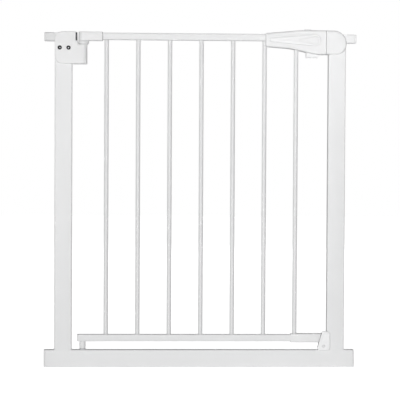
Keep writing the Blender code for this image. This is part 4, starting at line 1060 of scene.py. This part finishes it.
def buildTrigger(grip, low, high):
    # lever tab with finger grooves under it
    x0, x1, bottom, shelf, half = low.x, high.x, low.z, grip["railZ"] - 0.034, trigger["half"]
    boltLow, boltHigh = cad("latch_bolt")
    heel, boltLeft = boltLow.z, boltLow.x
    top = boltHigh.z - bolt["height"] - trigger["travel"] - play["room"]
    cam = boltLeft + trigger["cam"]
    outline = [(x0, bottom, 0.0028), (x1, bottom, 0.0028), (x1, shelf, 0.0006), (x1 - 0.003, shelf, 0.0),
               (x1 - 0.003, top, 0.0006), (cam + top - heel, top, 0), (x0, heel - (cam - x0), 0)]
    ear = box((boltLeft + trigger["ear"], low.y, top - 0.013), (x1 - 0.0035, high.y, top - 0.0005), 0.0008)
    tab = carve(block("Y", outline, -half, half, 8), ear, operation="UNION")
    pitch = (x1 - x0) / (trigger["grooves"] + 1)
    grooves = [rod("Y", x0 + pitch * step, bottom - 0.0054, trigger["groove"], -0.01, 0.01, 48)
               for step in range(1, trigger["grooves"] + 1)]
    addPiece("squeezeTrigger", carve(tab, *grooves), "handle", "trigger", ["squeeze_trigger"],
             bevel=0.0007, segments=3)


def buildThumbSlide(low, high, thumbX):
    capLow = high.z - 0.0017
    cap = block("Z", rectangle(thumbX, 0, high.x - low.x, high.y - low.y, 0.003), capLow, high.z, 6)
    softenRim(cap, 2, high.z, 0.0008, 3)
    stem = box((thumbX - 0.0035, -0.003, low.z + 0.001), (thumbX + 0.0035, 0.003, capLow + 0.0008), 0.0005)
    foot = box((thumbX - 0.0065, -0.005, low.z), (thumbX + 0.0065, 0.005, low.z + 0.004), 0.0006)
    cap = carve(cap, stem, foot, operation="UNION")
    ridge, ridges = rectangle(0, high.z + 0.0001, 0.010, 0.0009, 0.0003), []
    for step in range(-2, 3):
        x = thumbX + step * 0.0024
        ridges.append(block("X", ridge, x - 0.0005, x + 0.0005, 3))
    addPiece("thumbSlide", carve(cap, *ridges), "handle", "thumb", ["thumb_slide"], "grey_plastic",
             bevel=0.00015)


def buildLatchHousing(grip):
    low, high = cad("right_upright")
    boltLow, boltHigh = cad("latch_bolt")
    boltUnder, room = boltHigh.z - bolt["height"], play["room"]
    for side, name in ((-1, "front"), (1, "rear")):
        shell = handleHalf(grip, side, grip["latchLeft"], 1)
        cutters = [box((low.x - room, low.y - room, 0.6),
                       (grip["outer"] + 0.02, high.y + room, high.z + room)),
                   box((grip["latchLeft"] - 0.01, boltLow.y - play["run"], boltUnder - 0.001),
                       (low.x, 0.05, boltHigh.z + 0.011))]
        for x, z in spots(*clampScrews["right"]):
            if side < 0:
                cutters.append(rod("Y", x, z, tubing["clampHole"], low.y - 0.0038, 0, 24))
            else:
                cutters.append(rod("Y", x, z, tubing["clampHole"], 0, 0.05, 24))
                cutters.append(rod("Y", x, z, 0.0056, high.y + 0.0028, 0.05, 40))
        addPiece(f"latchHousing{name.title()}", carve(shell, *cutters), "handle", "frame",
                 [f"latch_housing_{name}"], bevel=0.00022)
    print("latch housing done")


def buildBolt():
    low, high = cad("latch_bolt")
    under, nose = high.z - bolt["height"], bolt["nose"]
    outline = [(low.x, low.z, 0.0004), (low.x + 0.002, low.z, 0.0004), (low.x + 0.016, under, 0.0015),
               (high.x, under, nose), (high.x, high.z, nose), (low.x, high.z, 0.0006)]
    addPiece("latchBolt", block("Y", outline, low.y, high.y, 6), "nylon", "bolt", ["latch_bolt"],
             bevel=0.0004, segments=3)
    for name, node, radius, wire, turns in (("boltSpring", "bolt_spring", 0.003, 0.00045, 5),
                                            ("thumbSpring", "thumb_spring", 0.0018, 0.0003, 4)):
        low, high = cad(node)
        wound = coil((low.x, 0, (low.z + high.z) / 2), "X", radius, wire, high.x - low.x, turns)
        addPiece(name, wound, "spring", "door", [node], sharp=60)


setUpCamera()
setUpLight()
layFloor()
buildFrameTubes()
buildDoorRails()
buildBars()
buildEndPlugs()
buildScrews()
buildHingeHousing()
buildHingeCore()
buildHingeCap()
buildBottomFittings()
buildDoorStop()
grip = buildHandle()
buildLatchHousing(grip)
buildBolt()

# what stays from the frame gets its finish
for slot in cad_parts["top_rail_plug"].material_slots:
    slot.material = finishes["nylon"]

scene.view_settings.view_transform = "Standard"
